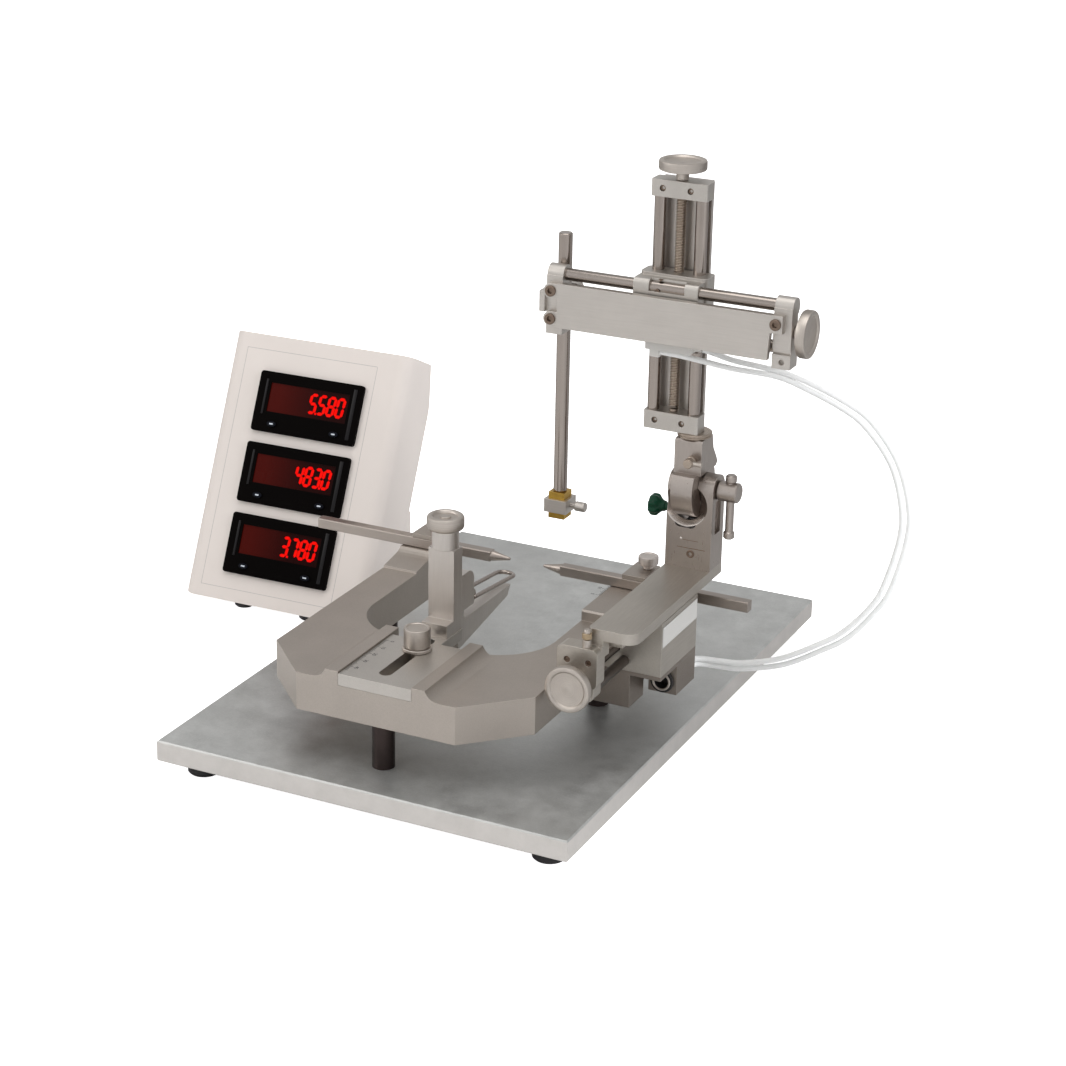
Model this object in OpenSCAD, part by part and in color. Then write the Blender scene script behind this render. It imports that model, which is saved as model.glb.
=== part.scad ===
// Three-axis bench micromanipulator on an ear-bar frame, with its sloping readout console.
// Millimetres. +X to the instrument's right, +Y to its back, +Z up.
// Origin: centre of the base plate's top face.

/* [Base plate and feet] */
// Width of the base plate
plate_w = 254; // [245:1:300]
// Depth of the base plate, front to back
plate_d = 368; // [350:1:420]
// Thickness of the base plate
plate_t = 12.7; // [8:0.1:16]
// Diameter of a rubber foot
foot_d = 19; // [12:0.5:26]
// Height of a rubber foot
foot_h = 10; // [7:0.5:16]
// Distance of a foot's centre from the plate's two edges
foot_inset = 19; // [14:0.5:30]

/* [U-frame] */
// Diameter of the three support posts
post_d = 12.7; // [8:0.1:16]
// Height of the support posts
post_h = 27.6; // [24:0.1:40]
// Outside width of the U-frame
frame_w = 162; // [150:1:170]
// Thickness of the U-frame
frame_t = 22.2; // [16:0.1:28]
// Distance of the front face from the plate's centre
frame_front = 161.5; // [155:0.5:172]
// Depth of the front bar of the U
bar_d = 68.5; // [62:0.5:72]
// Width of each arm
arm_w = 22.5; // [19:0.1:27]
// How far the arms reach behind the plate's centre
arm_back = 45; // [43:1:60]
// Size of the two front corner cuts
corner_cut = 32; // [10:1:36]
// Radius inside the U
inner_r = 36; // [10:1:36]
// Height of the ear-bar seats above the arms
seat_h = 6.5; // [4:0.1:8]

/* [Nose holder] */
// Width of the nose plate
nose_w = 45; // [36:0.5:48]
// Thickness of the nose plate
nose_t = 6.95; // [5:0.05:8]
// Width of the slot in the nose plate
slot_w = 7.5; // [6.5:0.1:9]
// Width of the nose tower
tower_w = 16; // [14:0.5:20]
// Depth of the nose tower
tower_d = 10; // [9:0.5:12]
// Height of the tower's square column above the nose plate
tower_h = 49.9; // [48:0.5:60]
// Diameter of the tower knob
tower_knob_d = 21.2; // [16:0.2:25]

/* [Ear bars] */
// Width and height of an ear bar's square section
ear_bar_w = 6.35; // [5:0.05:8]
// Length of an ear bar with its tip
ear_bar_l = 131.5; // [115:0.5:150]
// Gap between the two tips
ear_gap = 22; // [22:0.5:40]
// Place of the ear bars behind the plate's centre
ear_y = 20.5; // [20:0.5:24]

/* [Slides] */
// Diameter of the knobs on the three slides
knob_d = 26.6; // [20:0.2:27]
// Thickness of the slide knobs
knob_t = 5.7; // [4:0.1:8]
// Diameter of the guide rods of the upper two slides
rod_d = 7; // [6:0.1:8]
// Diameter of the guide rods of the front-back slide
ap_rod_d = 6; // [5:0.1:7]
// Lead of the slide screws
screw_lead = 3; // [1:0.5:4]

/* [Front-back slide] */
// Length of the front-back cover plate
ap_plate_l = 122.9; // [118:0.1:126]
// Width of the front-back cover plate
ap_plate_w = 27.8; // [27:0.1:32]
// Thickness of the front-back cover plate
ap_plate_t = 6.35; // [4:0.05:8]
// Length of the carriage
carriage_l = 50.5; // [46:0.5:54]
// Height of the carriage
carriage_h = 32.5; // [32.4:0.1:34]

/* [Swivel] */
// Height of the pivot above the cover plate
pivot_h = 47; // [44:0.5:52]
// Diameter of the round ears
ear_round_d = 18; // [16:0.5:20]
// Width of the slot between the ears
clevis_slot_w = 13.4; // [12:0.1:14]
// Diameter of the collar
collar_d = 19.8; // [18:0.1:21]

/* [Vertical slide] */
// Clear height between the end blocks
rise = 123; // [118:0.5:150]
// Height of the upper end block
top_block_h = 9.5; // [8:0.1:12]
// Height of the lower end block
low_block_h = 10.5; // [8:0.1:12]

/* [Side-to-side slide] */
// Distance between the two end blocks
span = 125.5; // [122:0.5:140]
// Height of the cover plate
ml_plate_h = 25.5; // [24:0.5:27]
// Thickness of the cover plate
ml_plate_t = 4; // [3:0.1:4.5]

/* [Probe] */
// Diameter of the probe rod
probe_d = 7.94; // [6:0.02:8]
// Length of the probe rod
probe_l = 153.7; // [145:0.5:175]
// Width of the square brass holder
holder_w = 10; // [9:0.1:12]
// Height of the brass holder
holder_h = 16; // [14:0.5:24]
// Diameter of the bore that takes an electrode
electrode_d = 2; // [1:0.1:2.4]

/* [Console] */
// Width of the console
console_w = 130; // [122:1:170]
// Length of the sloping panel
console_l = 176; // [174:1:200]
// Depth of the case, square to the panel
console_depth = 48; // [44:1:60]
// Tilt of the panel from upright
console_tilt = 25; // [15:1:30]
// Width of a display bezel
bezel_w = 75.8; // [72:0.2:84]
// Height of a display bezel
bezel_h = 39.6; // [36:0.2:42]
// Distance from one display to the next
display_pitch = 47.1; // [44:0.1:48]
// Diameter of a push button
button_d = 4.2; // [3:0.1:5]

/* [Fits] */
// Gap between flat faces that slide
slide_gap = 0.15; // [0.1:0.05:0.2]
// Radial clearance of a shaft in its bore
run = 0.05; // [0.02:0.01:0.1]

/* [Hidden] */

$fn = 64;
edge = 0.6;         // small chamfer on machined edges
reach = 0.5;        // how far a cutter runs past the face it opens
steel = "#b3aba1";
nickel = "#c4bcb2";
satin = "#a39a90";
black = "#262223";

// ---- levels and anchors, all from the sizes above ----
bench_z = -(plate_t + foot_h);
post_sunk = 3;      // how deep the posts stand in the plate
frame_top = post_h + frame_t;
arm_x = frame_w / 2;
arm_mid = arm_x - arm_w / 2;
inner_x = arm_x - arm_w;
bar_back = -frame_front + bar_d;
seat_top = frame_top + seat_h;
ear_lift = slide_gap;
ear_z = seat_top + ear_lift + ear_bar_w / 2;
ear_mid_x = 2.2;    // middle of the gap between the ear-bar tips

channel_depth = 2.5;
channel_z = frame_top - channel_depth;
nose_bottom = channel_z + slide_gap;
nose_top = nose_bottom + nose_t;
nose_plate_back = -101;
nose_slot_front = -152;
nose_slot_back = -96.25;
lock_y = -113;
tongue_w = 17;
tower_y = -80;      // axis of the tower's screw
tower_foot_d = 18;
tower_neck_h = 10.6;
tower_top = nose_top + tower_h;
tower_neck_top = tower_top + tower_neck_h;
tower_screw_r = 2.4;
slider_bottom = nose_top + 9.9;
slider_h = 22;
wire_r = 1.3;
wire_x = 5.5;
wire_y = tower_y + 26;
wire_z = slider_bottom + 1.2;
wire_l = 54;
wire_drop = 5.5;
bite_l = 75;        // reach of the bite bar behind the tower

strap_shift = 3.3;  // the straps and their screws stand a little right of each arm's middle
strap_w = 14.8;
strap_t = 2.5;
strap_z = ear_z + ear_bar_w / 2 + ear_lift;
strap_screw_y = ear_y + 12.5;
strap_screw_shift = 5.75;
strap_screw_r = 2.5;

ap_x = arm_x + 14.1;                  // axis of the front-back lead screw
ap_screw_r = 2.4;
ap_z = ear_z - ear_bar_w / 2 - 0.7 - ap_screw_r;
ap_rod_r = ap_rod_d / 2;
ap_rod_x = [arm_x + 6.6, arm_x + 19.2];
ap_rod_z = ap_z - 7;
carriage_x0 = arm_x;
carriage_x1 = arm_x + 41.5;
carriage_y1 = -5;
carriage_y0 = carriage_y1 - carriage_l;
carriage_z0 = ap_z - 13;
carriage_z1 = carriage_z0 + carriage_h;
ap_block_x0 = arm_x + 1.2;
ap_block_x1 = arm_x + 25.1;
ap_front_t = 10;
ap_rear_t = 8;
ap_plate_x0 = arm_x + 16;
ap_plate_x1 = ap_plate_x0 + ap_plate_w;
ap_plate_z0 = carriage_z1 + 2.95;
ap_plate_z1 = ap_plate_z0 + ap_plate_t;
ap_plate_y0 = -98.6;
ap_plate_y1 = ap_plate_y0 + ap_plate_l;
ap_front_y = ap_plate_y0 + 2.6;       // rear face of the front end block
ap_rear_y = 12;                       // front face of the rear end block
ap_block_z1 = ap_plate_z0 - 3.15;
rail_w = 8;
rail_x0 = ap_plate_x0 + 8;
rail_h = 6.9;
neck_r = 3.5;
neck_l = 10;

clevis_d = ear_round_d;
clevis_y = ap_plate_y1 - 0.3 - clevis_d / 2;
pivot_z = ap_plate_z1 + pivot_h;
tongue_x = ap_plate_x0 + 4.9 + clevis_slot_w / 2;
tongue_t = clevis_slot_w - 2 * slide_gap;
clevis_floor = ap_plate_z1 + 24.2;
pin_r = 3;
head_z0 = pivot_z + 9.4;               // underside of the swivel's head block
seat_z0 = pivot_z + 30;
head_half = 8.25;
tongue_r = 17.5;
spigot_r = 5;
lock_z = ap_plate_z1 + 31.5;

collar_h = 3;
low_z0 = seat_z0 + collar_h;
low_z1 = low_z0 + low_block_h;
top_z0 = low_z1 + rise;
top_z1 = top_z0 + top_block_h;
rod_r = rod_d / 2;
slide_y = clevis_y - 3.3;             // axis plane of the vertical slide
slide_x = tongue_x - 12.2;            // axis of the vertical lead screw
rod_pitch = 24.6;
rod_seat = 7;                         // depth of a guide rod in its end block
block_y0 = slide_y - 5;
block_y1 = slide_y + 6;
block_x0 = slide_x - 16.3;
block_x1 = slide_x + 17;
z_screw_r = 2.85;
back_t = 2.5;

ml_y = block_y0 - 8.5;                // axis plane of the side-to-side slide
ml_rise = 60.5;                       // its lead screw above the lower end block
ml_mid = low_z1 + ml_rise;
ml_rod_up = 14;
ml_rod_down = 9.3;
ml_top = ml_mid + 10.6;
ml_bottom = ml_top - ml_plate_h;
ml_screw_r = 2.4;
ml_reach = 61.5;                      // its left end block from the vertical slide
ml_left_x1 = slide_x - ml_reach;
ml_right_x0 = ml_left_x1 + span;
ml_left_t = 9.8;
ml_hub = 8;                           // half height of the left block's thick middle
ml_right_t = 10.5;
ml_block_y0 = ml_y - 6;
ml_block_y1 = ml_y + 6;
ml_web = 9;
ml_foot = 8;
ml_plate_y0 = ml_block_y0 - ml_plate_t;

cross_x0 = slide_x - 19.5;
cross_x1 = slide_x + 20.5;
cross_y0 = ml_y - 4.5;
cross_y1 = block_y1 - 1.3;
cross_z0 = ml_mid - 14.3;
cross_z1 = ml_mid + 20.7;
saddle_z1 = ml_mid + 19;
gland_z0 = cross_z0 - 7;

probe_r = probe_d / 2;
probe_x = ml_left_x1 - 6;
probe_y = ml_block_y1 + 3.7;
probe_z1 = ml_mid + 35;
probe_z0 = probe_z1 - probe_l;
probe_spigot_r = 2.5;
probe_spigot_l = 5;
jaw_x0 = ml_left_x1 - ml_left_t - 3.3;
jaw_t = 3.1;
jaw_y0 = probe_y + probe_r + slide_gap;
jaw_z0 = ml_mid - 7;
jaw_h = 12;
jaw_screw_r = 1.5;
electrode_y = probe_y - 2.9;
clamp_h = 8;
clamp_wall = 2;
clamp_screw_r = 1.5;

console_gap = 0.3;  // between the console and the plate it stands beside
console_x = -plate_w / 2 - console_gap - console_w;
console_y = 39.3;
console_yaw = 1.4;
console_foot_h = 5;
console_foot_d = 13;
console_z = bench_z + console_foot_h;
console_r = 8;
console_foot_x = 41;
console_foot_y = [10, 71];
console_back = 78;
display_u = (console_w - bezel_w) / 2;
display_v = 18.6;
bezel_t = 2.6;
bezel_sunk = 9;
window_w = 58;
window_h = 19;
window_v = 13.5;
window_t = 1.5;
button_u = 15;
button_v = 5.6;
button_travel = 0.8;

// ---- shapes that repeat ----

// flat rectangle with round corners, from one corner
module round_rect(w, d, r) {
    translate([r, 0]) square([w - 2 * r, d]);
    translate([0, r]) square([w, d - 2 * r]);
    for (x = [r, w - r], y = [r, d - r]) translate([x, y]) circle(r);
}

// block between two corners
module block(a, b) {
    translate(a) cube(b - a);
}

// round bar along X, Y or Z from a point
module bar_x(p, r, l) {
    translate(p) rotate([0, 90, 0]) cylinder(r = r, h = l);
}
module bar_y(p, r, l) {
    translate(p) rotate([-90, 0, 0]) cylinder(r = r, h = l);
}
module bar_z(p, r, l) {
    translate(p) cylinder(r = r, h = l);
}

// outline in the XZ plane, given a thickness along +Y
module along_y(y, l) {
    translate([0, y + l, 0]) rotate([90, 0, 0]) linear_extrude(l) children();
}

// outline in the YZ plane, given a thickness along +X
module along_x(x, l) {
    translate([x, 0, 0]) rotate([90, 0, 90]) linear_extrude(l) children();
}

// cylinder whose two rims are chamfered
module turned(r, h, c = edge) {
    rotate_extrude() polygon([[0, 0], [r - c, 0], [r, c], [r, h - c], [r - c, h], [0, h]]);
}

// dished slide knob on its neck: the neck starts at z = 0 and the knob faces +Z
module dished_knob(d, t, neck, shaft_r) {
    r = d / 2;
    rim = 2.9;
    dish = 1.1;
    difference() {
        rotate_extrude() polygon([
            [0, 0], [neck_r, 0], [neck_r, neck - 1], [neck_r + 1.5, neck], [r - 0.9, neck], [r, neck + 0.9],
            [r, neck + t - 0.9], [r - 0.9, neck + t], [r - rim, neck + t], [r - rim - dish, neck + t - dish],
            [0, neck + t - dish]
        ]);
        translate([0, 0, -reach]) cylinder(r = shaft_r, h = neck + t * 0.4 + reach);
    }
}

// thumb screw: shank below z = 0, a thin flange, then the grip
module thumb_screw(head_r, head_h, flange_r, flange_h, shank_r, shank_l) {
    translate([0, 0, -shank_l]) cylinder(r = shank_r, h = shank_l + flange_h);
    turned(flange_r, flange_h, 0.3);
    translate([0, 0, flange_h]) turned(head_r, head_h, 0.8);
}

// ---- base ----

module base_plate() {
    c = 0.8;
    hw = plate_w / 2;
    hd = plate_d / 2;
    color(steel) difference() {
        intersection() {
            along_y(-hd, plate_d) polygon([
                [-hw, -plate_t + c], [-hw + c, -plate_t], [hw - c, -plate_t], [hw, -plate_t + c],
                [hw, -c], [hw - c, 0], [-hw + c, 0], [-hw, -c]
            ]);
            along_x(-hw, plate_w) polygon([
                [-hd, -plate_t + c], [-hd + c, -plate_t], [hd - c, -plate_t], [hd, -plate_t + c],
                [hd, -c], [hd - c, 0], [-hd + c, 0], [-hd, -c]
            ]);
        }
        for (p = post_places()) {
            bar_z([p[0], p[1], -plate_t - reach], post_d * 0.3, 5 + reach);
            bar_z([p[0], p[1], -post_sunk], post_d / 2 + run, post_sunk + reach);
        }
    }
}

function post_places() = [
    [0, -frame_front + 10], [-arm_mid, -22], [arm_mid, -22]
];

module foot(d, h) {
    difference() {
        rotate_extrude() polygon([[0, 0], [d / 2 - 1, 0], [d / 2, 1], [d / 2, h], [0, h]]);
        translate([0, 0, -reach]) cylinder(r = d * 0.22, h = h * 0.35 + reach);
    }
}

module rubber_feet() {
    color(black) {
        for (x = [-1, 1], y = [-1, 1])
            translate([x * (plate_w / 2 - foot_inset), y * (plate_d / 2 - foot_inset), bench_z])
                foot(foot_d, foot_h);
        for (x = [console_foot_x, console_w - console_foot_x], y = console_foot_y)
            at_console() translate([x, y, -console_foot_h]) foot(console_foot_d, console_foot_h);
    }
}

module support_posts() {
    color(black) for (p = post_places())
        translate([p[0], p[1], -post_sunk]) turned(post_d / 2, post_h + post_sunk, 0.8);
}

// ---- U-frame ----

module u_outline() {
    difference() {
        polygon([
            [-arm_x + corner_cut, -frame_front], [arm_x - corner_cut, -frame_front],
            [arm_x, -frame_front + corner_cut], [arm_x, arm_back - 4], [arm_x - 4, arm_back],
            [-arm_x + 4, arm_back], [-arm_x, arm_back - 4], [-arm_x, -frame_front + corner_cut]
        ]);
        translate([-inner_x, bar_back + inner_r]) square([2 * inner_x, frame_front + arm_back]);
        translate([-inner_x + inner_r, bar_back]) square([2 * (inner_x - inner_r), 2 * inner_r]);
        for (s = [-1, 1]) translate([s * (inner_x - inner_r), bar_back + inner_r]) circle(inner_r, $fn = 96);
    }
}

// raised seats for the ear bars, seen from the side as (y, z)
module left_seat_outline() {
    polygon([
        [-6, frame_top - reach], [-5.6, frame_top + 1.2], [9, frame_top + 3.6], [11.6, frame_top + 4.3],
        [13.6, frame_top + 5.3], [15.3, seat_top], [arm_back, seat_top], [arm_back, frame_top - reach]
    ]);
}
module right_seat_outline() {
    polygon([
        [-22.8, frame_top - reach], [-22.8, seat_top - 1], [-21.8, seat_top],
        [arm_back, seat_top], [arm_back, frame_top - reach]
    ]);
}

// rib beside the nose plate, seen from the front as (x, z)
module rib_outline() {
    inside = nose_w / 2 + slide_gap;
    blend = 8.7;
    rib_h = 5.7;
    difference() {
        translate([inside, frame_top - reach]) square([16.2, rib_h + reach]);
        translate([inside + 16.2, frame_top + blend]) circle(blend);
    }
}

module u_frame() {
    color(satin) difference() {
        union() {
            translate([0, 0, post_h]) linear_extrude(frame_t) u_outline();
            intersection() {
                linear_extrude(seat_top + 1) u_outline();
                union() {
                    along_x(-arm_x, arm_w) left_seat_outline();
                    along_x(inner_x, arm_w) right_seat_outline();
                    for (s = [0, 1]) mirror([s, 0, 0]) along_y(-frame_front, bar_d) rib_outline();
                }
            }
        }
        block([-nose_w / 2 - slide_gap, -frame_front - reach, channel_z],
              [nose_w / 2 + slide_gap, bar_back + reach, frame_top + seat_h]);
        bar_z([0, lock_y, channel_z - 14], 3 + run, 15);
        for (s = [-1, 1]) bar_z([s * arm_mid + strap_screw_shift, strap_screw_y, seat_top - 12],
                                strap_screw_r + run, 13);
    }
}

module strap(x) {
    fence_y = ear_y + ear_bar_w / 2 + slide_gap;
    translate([x + strap_shift - strap_w / 2, 0, 0]) difference() {
        union() {
            block([0, ear_y - ear_bar_w / 2, strap_z], [strap_w, strap_screw_y + 6.5, strap_z + strap_t]);
            block([0, strap_screw_y + 3.5, seat_top], [strap_w, strap_screw_y + 6.5, strap_z]);
            // fence along the back of the ear bar
            block([0, fence_y, seat_top], [strap_w, fence_y + 2.5, strap_z]);
        }
        bar_z([strap_w / 2 - strap_shift + strap_screw_shift, strap_screw_y, strap_z - 1],
              strap_screw_r + run, strap_t + 2);
    }
}

module ear_straps() {
    color(nickel) {
        strap(-arm_mid);
        strap(arm_mid);
    }
}

module ear_screw(x) {
    color(nickel) translate([x + strap_screw_shift, strap_screw_y, strap_z + strap_t])
        thumb_screw(6, 4.4, 3.4, 1.5, strap_screw_r, strap_t + strap_z - seat_top + 8);
}
module ear_screw_left() ear_screw(-arm_mid);
module ear_screw_right() ear_screw(arm_mid);

// ear bar lying along +X, its tip at the origin and its body behind it
module ear_bar() {
    tip_l = 12.4;
    half = ear_bar_w / 2;
    c = 0.5;
    along_x(-ear_bar_l, ear_bar_l - tip_l) polygon([
        [-half, -half + c], [-half + c, -half], [half - c, -half], [half, -half + c],
        [half, half - c], [half - c, half], [-half + c, half], [-half, half - c]
    ]);
    translate([-tip_l, 0, 0]) rotate([0, 90, 0]) rotate_extrude() polygon([
        [0, 0], [half, 0], [half, 0.8], [0.9, tip_l - 0.5], [0.4, tip_l], [0, tip_l]
    ]);
}

module ear_bar_left() {
    color(satin) translate([ear_mid_x - ear_gap / 2, ear_y, ear_z]) ear_bar();
}
module ear_bar_right() {
    color(satin) translate([ear_mid_x + ear_gap / 2, ear_y, ear_z]) mirror([1, 0, 0]) ear_bar();
}

// ---- nose holder ----

module nose_plate() {
    slot_r = slot_w / 2;
    color(nickel) translate([0, 0, nose_bottom]) linear_extrude(nose_t) difference() {
        union() {
            translate([-nose_w / 2, -frame_front]) square([nose_w, frame_front + nose_plate_back]);
            translate([-tongue_w / 2, nose_plate_back - 1])
                square([tongue_w, tower_y + tower_d / 2 - nose_plate_back + 1]);
        }
        translate([-slot_r, nose_slot_front + slot_r])
            square([slot_w, nose_slot_back - nose_slot_front - slot_w]);
        for (y = [nose_slot_front + slot_r, nose_slot_back - slot_r]) translate([0, y]) circle(slot_r);
    }
}

module nose_lock_screw() {
    color(nickel) translate([0, lock_y, nose_top + slide_gap])
        thumb_screw(7.5, 11.5, 8.4, 2, 3, nose_t + 12);
}

module nose_tower() {
    half = tower_w / 2;
    y0 = tower_y - tower_d / 2;
    y1 = tower_y + tower_d / 2;
    color(nickel) difference() {
        union() {
            block([-half, y0, nose_top], [half, y1, tower_top]);
            block([-half, y1 - tower_foot_d, nose_top], [half, y1, nose_top + 7.9]);
            bar_z([0, tower_y, tower_top], half - 0.3, tower_neck_h);
        }
        bar_z([0, tower_y, nose_top + 2.5], tower_screw_r + 0.8, tower_h - 2.5);
        bar_z([0, tower_y, tower_top - 1], tower_screw_r + run, tower_neck_h + 2);
        block([-2 - slide_gap, tower_y, nose_top + 6.5], [2 + slide_gap, y1 + reach, tower_top - 3]);
        block([-1.1, y0 - 1, tower_top + 1.5], [1.1, tower_y - 5, tower_top + 8]);
    }
}

module tower_knob() {
    r = tower_knob_d / 2;
    h = 8.2;
    foot_z = nose_top + 3;
    color(nickel) {
        bar_z([0, tower_y, foot_z], tower_screw_r, tower_neck_top + 1 - foot_z);
        translate([0, tower_y, tower_neck_top + slide_gap]) rotate_extrude() polygon([
            [0, 0], [r - 1.5, 0], [r, 1.5], [r, h - 1.2],
            [r - 1.2, h], [r - 3, h], [r - 4.5, h - 1.2], [0, h - 1.6]
        ]);
    }
}

module nose_slider() {
    half = tower_w / 2;
    y0 = tower_y + tower_d / 2 + slide_gap;
    y1 = tower_y + 20;
    lug = wire_x - wire_r - 0.4;
    top_r = 7;
    z1 = slider_bottom + slider_h;
    color(nickel) difference() {
        union() {
            along_x(-half, tower_w) {
                translate([y0, slider_bottom]) square([y1 - y0, slider_h - top_r]);
                translate([y0, slider_bottom]) square([y1 - y0 - top_r, slider_h]);
                translate([y1 - top_r, z1 - top_r]) circle(top_r);
            }
            along_x(-lug, 2 * lug) {
                translate([y1 - 1, wire_z - 4.5]) square([wire_y - y1 + 1, 12]);
                translate([wire_y, wire_z]) circle(4.5);
            }
            block([-2, tower_y + 1, slider_bottom + 5], [2, y0 + 1, slider_bottom + 17]);
            bar_z([0, tower_y, slider_bottom + 5], tower_screw_r + 0.7, 12);
            // bite bar that hangs below the slider and reaches back
            along_x(-4, 8) polygon([
                [y0 + 3, slider_bottom + 1], [y0 + 3, slider_bottom - 25], [y0 + 8, slider_bottom - 25],
                [tower_y + bite_l - 4, slider_bottom - 15], [tower_y + bite_l, slider_bottom - 9],
                [y0 + 12, slider_bottom - 9], [y0 + 10, slider_bottom - 7], [y0 + 10, slider_bottom + 1]
            ]);
        }
        bar_z([0, tower_y, slider_bottom - 1], tower_screw_r + run, 24);
        bar_x([-half, wire_y, wire_z], wire_r + run, tower_w);
    }
}

// U-shaped wire: two legs, a round end, and trunnions bent inwards into the slider's lug
module nose_wire() {
    slope = atan(wire_drop / wire_l);
    color(satin) translate([0, wire_y, wire_z]) rotate([-slope, 0, 0]) {
        for (s = [-1, 1]) {
            bar_y([s * wire_x, 0, 0], wire_r, wire_l - wire_x);
            translate([s * wire_x, 0, 0]) sphere(wire_r, $fn = 32);
            bar_x([s > 0 ? 0.6 : -wire_x, 0, 0], wire_r, wire_x - 0.6);
        }
        translate([0, wire_l - wire_x, 0])
            rotate_extrude(angle = 180) translate([wire_x, 0]) circle(wire_r, $fn = 32);
    }
}

// ---- front-back slide ----

module ap_carriage() {
    rail_x1 = rail_x0 + rail_w;
    color(satin) difference() {
        union() {
            block([carriage_x0, carriage_y0, carriage_z0], [carriage_x1, carriage_y1, ap_rod_z + 6]);
            block([carriage_x0 + 7.5, carriage_y0, ap_rod_z], [carriage_x1, carriage_y1, carriage_z1]);
        }
        for (x = ap_rod_x) bar_y([x, carriage_y0 - 1, ap_rod_z], ap_rod_r + run, carriage_l + 2);
        bar_y([ap_x, carriage_y0 - 1, ap_z], ap_screw_r + run, carriage_l + 2);
        block([rail_x0 - slide_gap, carriage_y0 - 1, ap_plate_z0 - rail_h - slide_gap],
              [rail_x1 + slide_gap, carriage_y1 + 1, carriage_z1 + 1]);
    }
}

bracket_t = 2.5;
leg_h = 22.5;
leg_w = 14.9;
leg_l = 40;
flange_w = 8;
flange_l = 20;

module carriage_bracket() {
    top = carriage_z0;
    leg_x1 = arm_x + leg_w;
    color("#8d857c") {
        // leg bolted to the arm's side, under the carriage
        block([arm_x, carriage_y0, top - leg_h], [leg_x1, carriage_y0 + leg_l, top]);
        // angle: shelf under the carriage and a flange down the leg's side
        block([leg_x1, carriage_y0, top - bracket_t], [carriage_x1, carriage_y1, top]);
        block([leg_x1, carriage_y0, top - leg_h], [leg_x1 + flange_w, carriage_y0 + flange_l, top - bracket_t]);
    }
}

sensor_x0 = carriage_x1 - 17.2;
sensor_y0 = carriage_y1 - 26.5;
sensor_z1 = carriage_z0 - bracket_t;
sensor_z0 = sensor_z1 - 18;
socket_r = 7;
socket_x = carriage_x1 - 8.6;
socket_z = sensor_z0 + 7.6;
socket_sunk = 7;

module sensor_box() {
    color("#6f6963") difference() {
        block([sensor_x0, sensor_y0, sensor_z0], [carriage_x1, carriage_y1, sensor_z1]);
        bar_y([socket_x, sensor_y0 - 1, socket_z], 5.5, socket_sunk + 2);
    }
}

module sensor_socket() {
    color(black) translate([socket_x, sensor_y0, socket_z]) rotate([90, 0, 0]) difference() {
        union() {
            turned(socket_r, 1.8, 0.3);
            translate([0, 0, -socket_sunk]) cylinder(r = 5.45, h = socket_sunk + 1);
        }
        translate([0, 0, 2 - socket_sunk]) cylinder(r = 4.2, h = socket_sunk + 1);
    }
}

module ap_cover_plate() {
    left_r = 2.5;
    right_r = 8;
    color(satin) {
        translate([ap_plate_x0, ap_plate_y0, ap_plate_z0]) linear_extrude(ap_plate_t) {
            translate([left_r, 0]) square([ap_plate_w - left_r - right_r, ap_plate_l]);
            translate([0, left_r]) square([ap_plate_w - right_r, ap_plate_l - left_r]);
            translate([0, right_r]) square([ap_plate_w, ap_plate_l - right_r]);
            translate([left_r, left_r]) circle(left_r);
            translate([ap_plate_w - right_r, right_r]) circle(right_r);
        }
        block([rail_x0, ap_front_y + 8, ap_plate_z0 - rail_h], [rail_x0 + rail_w, ap_plate_y1, ap_plate_z0]);
    }
}

// outline of an end block: an upper body and a lower one round the guide rods
module ap_block_outline(x1, z1) {
    r = 3.5;
    z0 = ap_rod_z - 4.8;
    translate([ap_block_x0, z0]) round_rect(ap_block_x1 - 1.9 - ap_block_x0, ap_z + 2 - z0, r);
    translate([ap_block_x0, ap_z - 4]) round_rect(x1 - ap_block_x0, z1 - ap_z + 4, min(r, (z1 - ap_z + 4) / 2));
}

module ap_front_block() {
    y0 = ap_front_y - ap_front_t;
    boss_x0 = ap_plate_x0 + 2;
    color(satin) difference() {
        union() {
            along_y(y0, ap_front_t) ap_block_outline(ap_block_x1, ap_block_z1);
            block([boss_x0, ap_front_y - 2.6, ap_block_z1 - 7], [ap_block_x1, ap_front_y + 5.5, ap_plate_z0]);
            block([boss_x0, ap_front_y - 4, ap_block_z1 - 6], [ap_block_x1, ap_front_y, ap_block_z1]);
        }
        bar_y([ap_x, y0 - 1, ap_z], ap_screw_r + run, ap_front_t + 2);
        for (x = ap_rod_x) bar_y([x, ap_front_y - rod_seat, ap_rod_z], ap_rod_r, rod_seat + 1);
        for (x = ap_rod_x) bar_y([x + 0.6, y0 - 1, ap_block_z1 - 8.2], 1.9, 4);
    }
}

module ap_rear_block() {
    color(satin) difference() {
        along_y(ap_rear_y, ap_rear_t) translate([ap_block_x0, ap_rod_z - 4.8])
            round_rect(ap_block_x1 - 1.9 - ap_block_x0, ear_z - ear_bar_w / 2 - 0.6 - ap_rod_z + 4.8, 3);
        bar_y([ap_x, ap_rear_y - 1, ap_z], 1.8 + run, 7);
        for (x = ap_rod_x) bar_y([x, ap_rear_y - 1, ap_rod_z], ap_rod_r, rod_seat);
    }
}

module ap_guide_rods() {
    color(nickel) for (x = ap_rod_x)
        bar_y([x, ap_front_y - rod_seat, ap_rod_z], ap_rod_r, ap_rear_y - ap_front_y + 2 * rod_seat - 1);
}

module ap_lead_screw() {
    y0 = ap_front_y - ap_front_t - neck_l - 2;
    color(nickel) {
        bar_y([ap_x, y0, ap_z], ap_screw_r, ap_rear_y - slide_gap - y0);
        bar_y([ap_x, ap_rear_y - slide_gap - 1, ap_z], 1.8, 6);
    }
}

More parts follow.
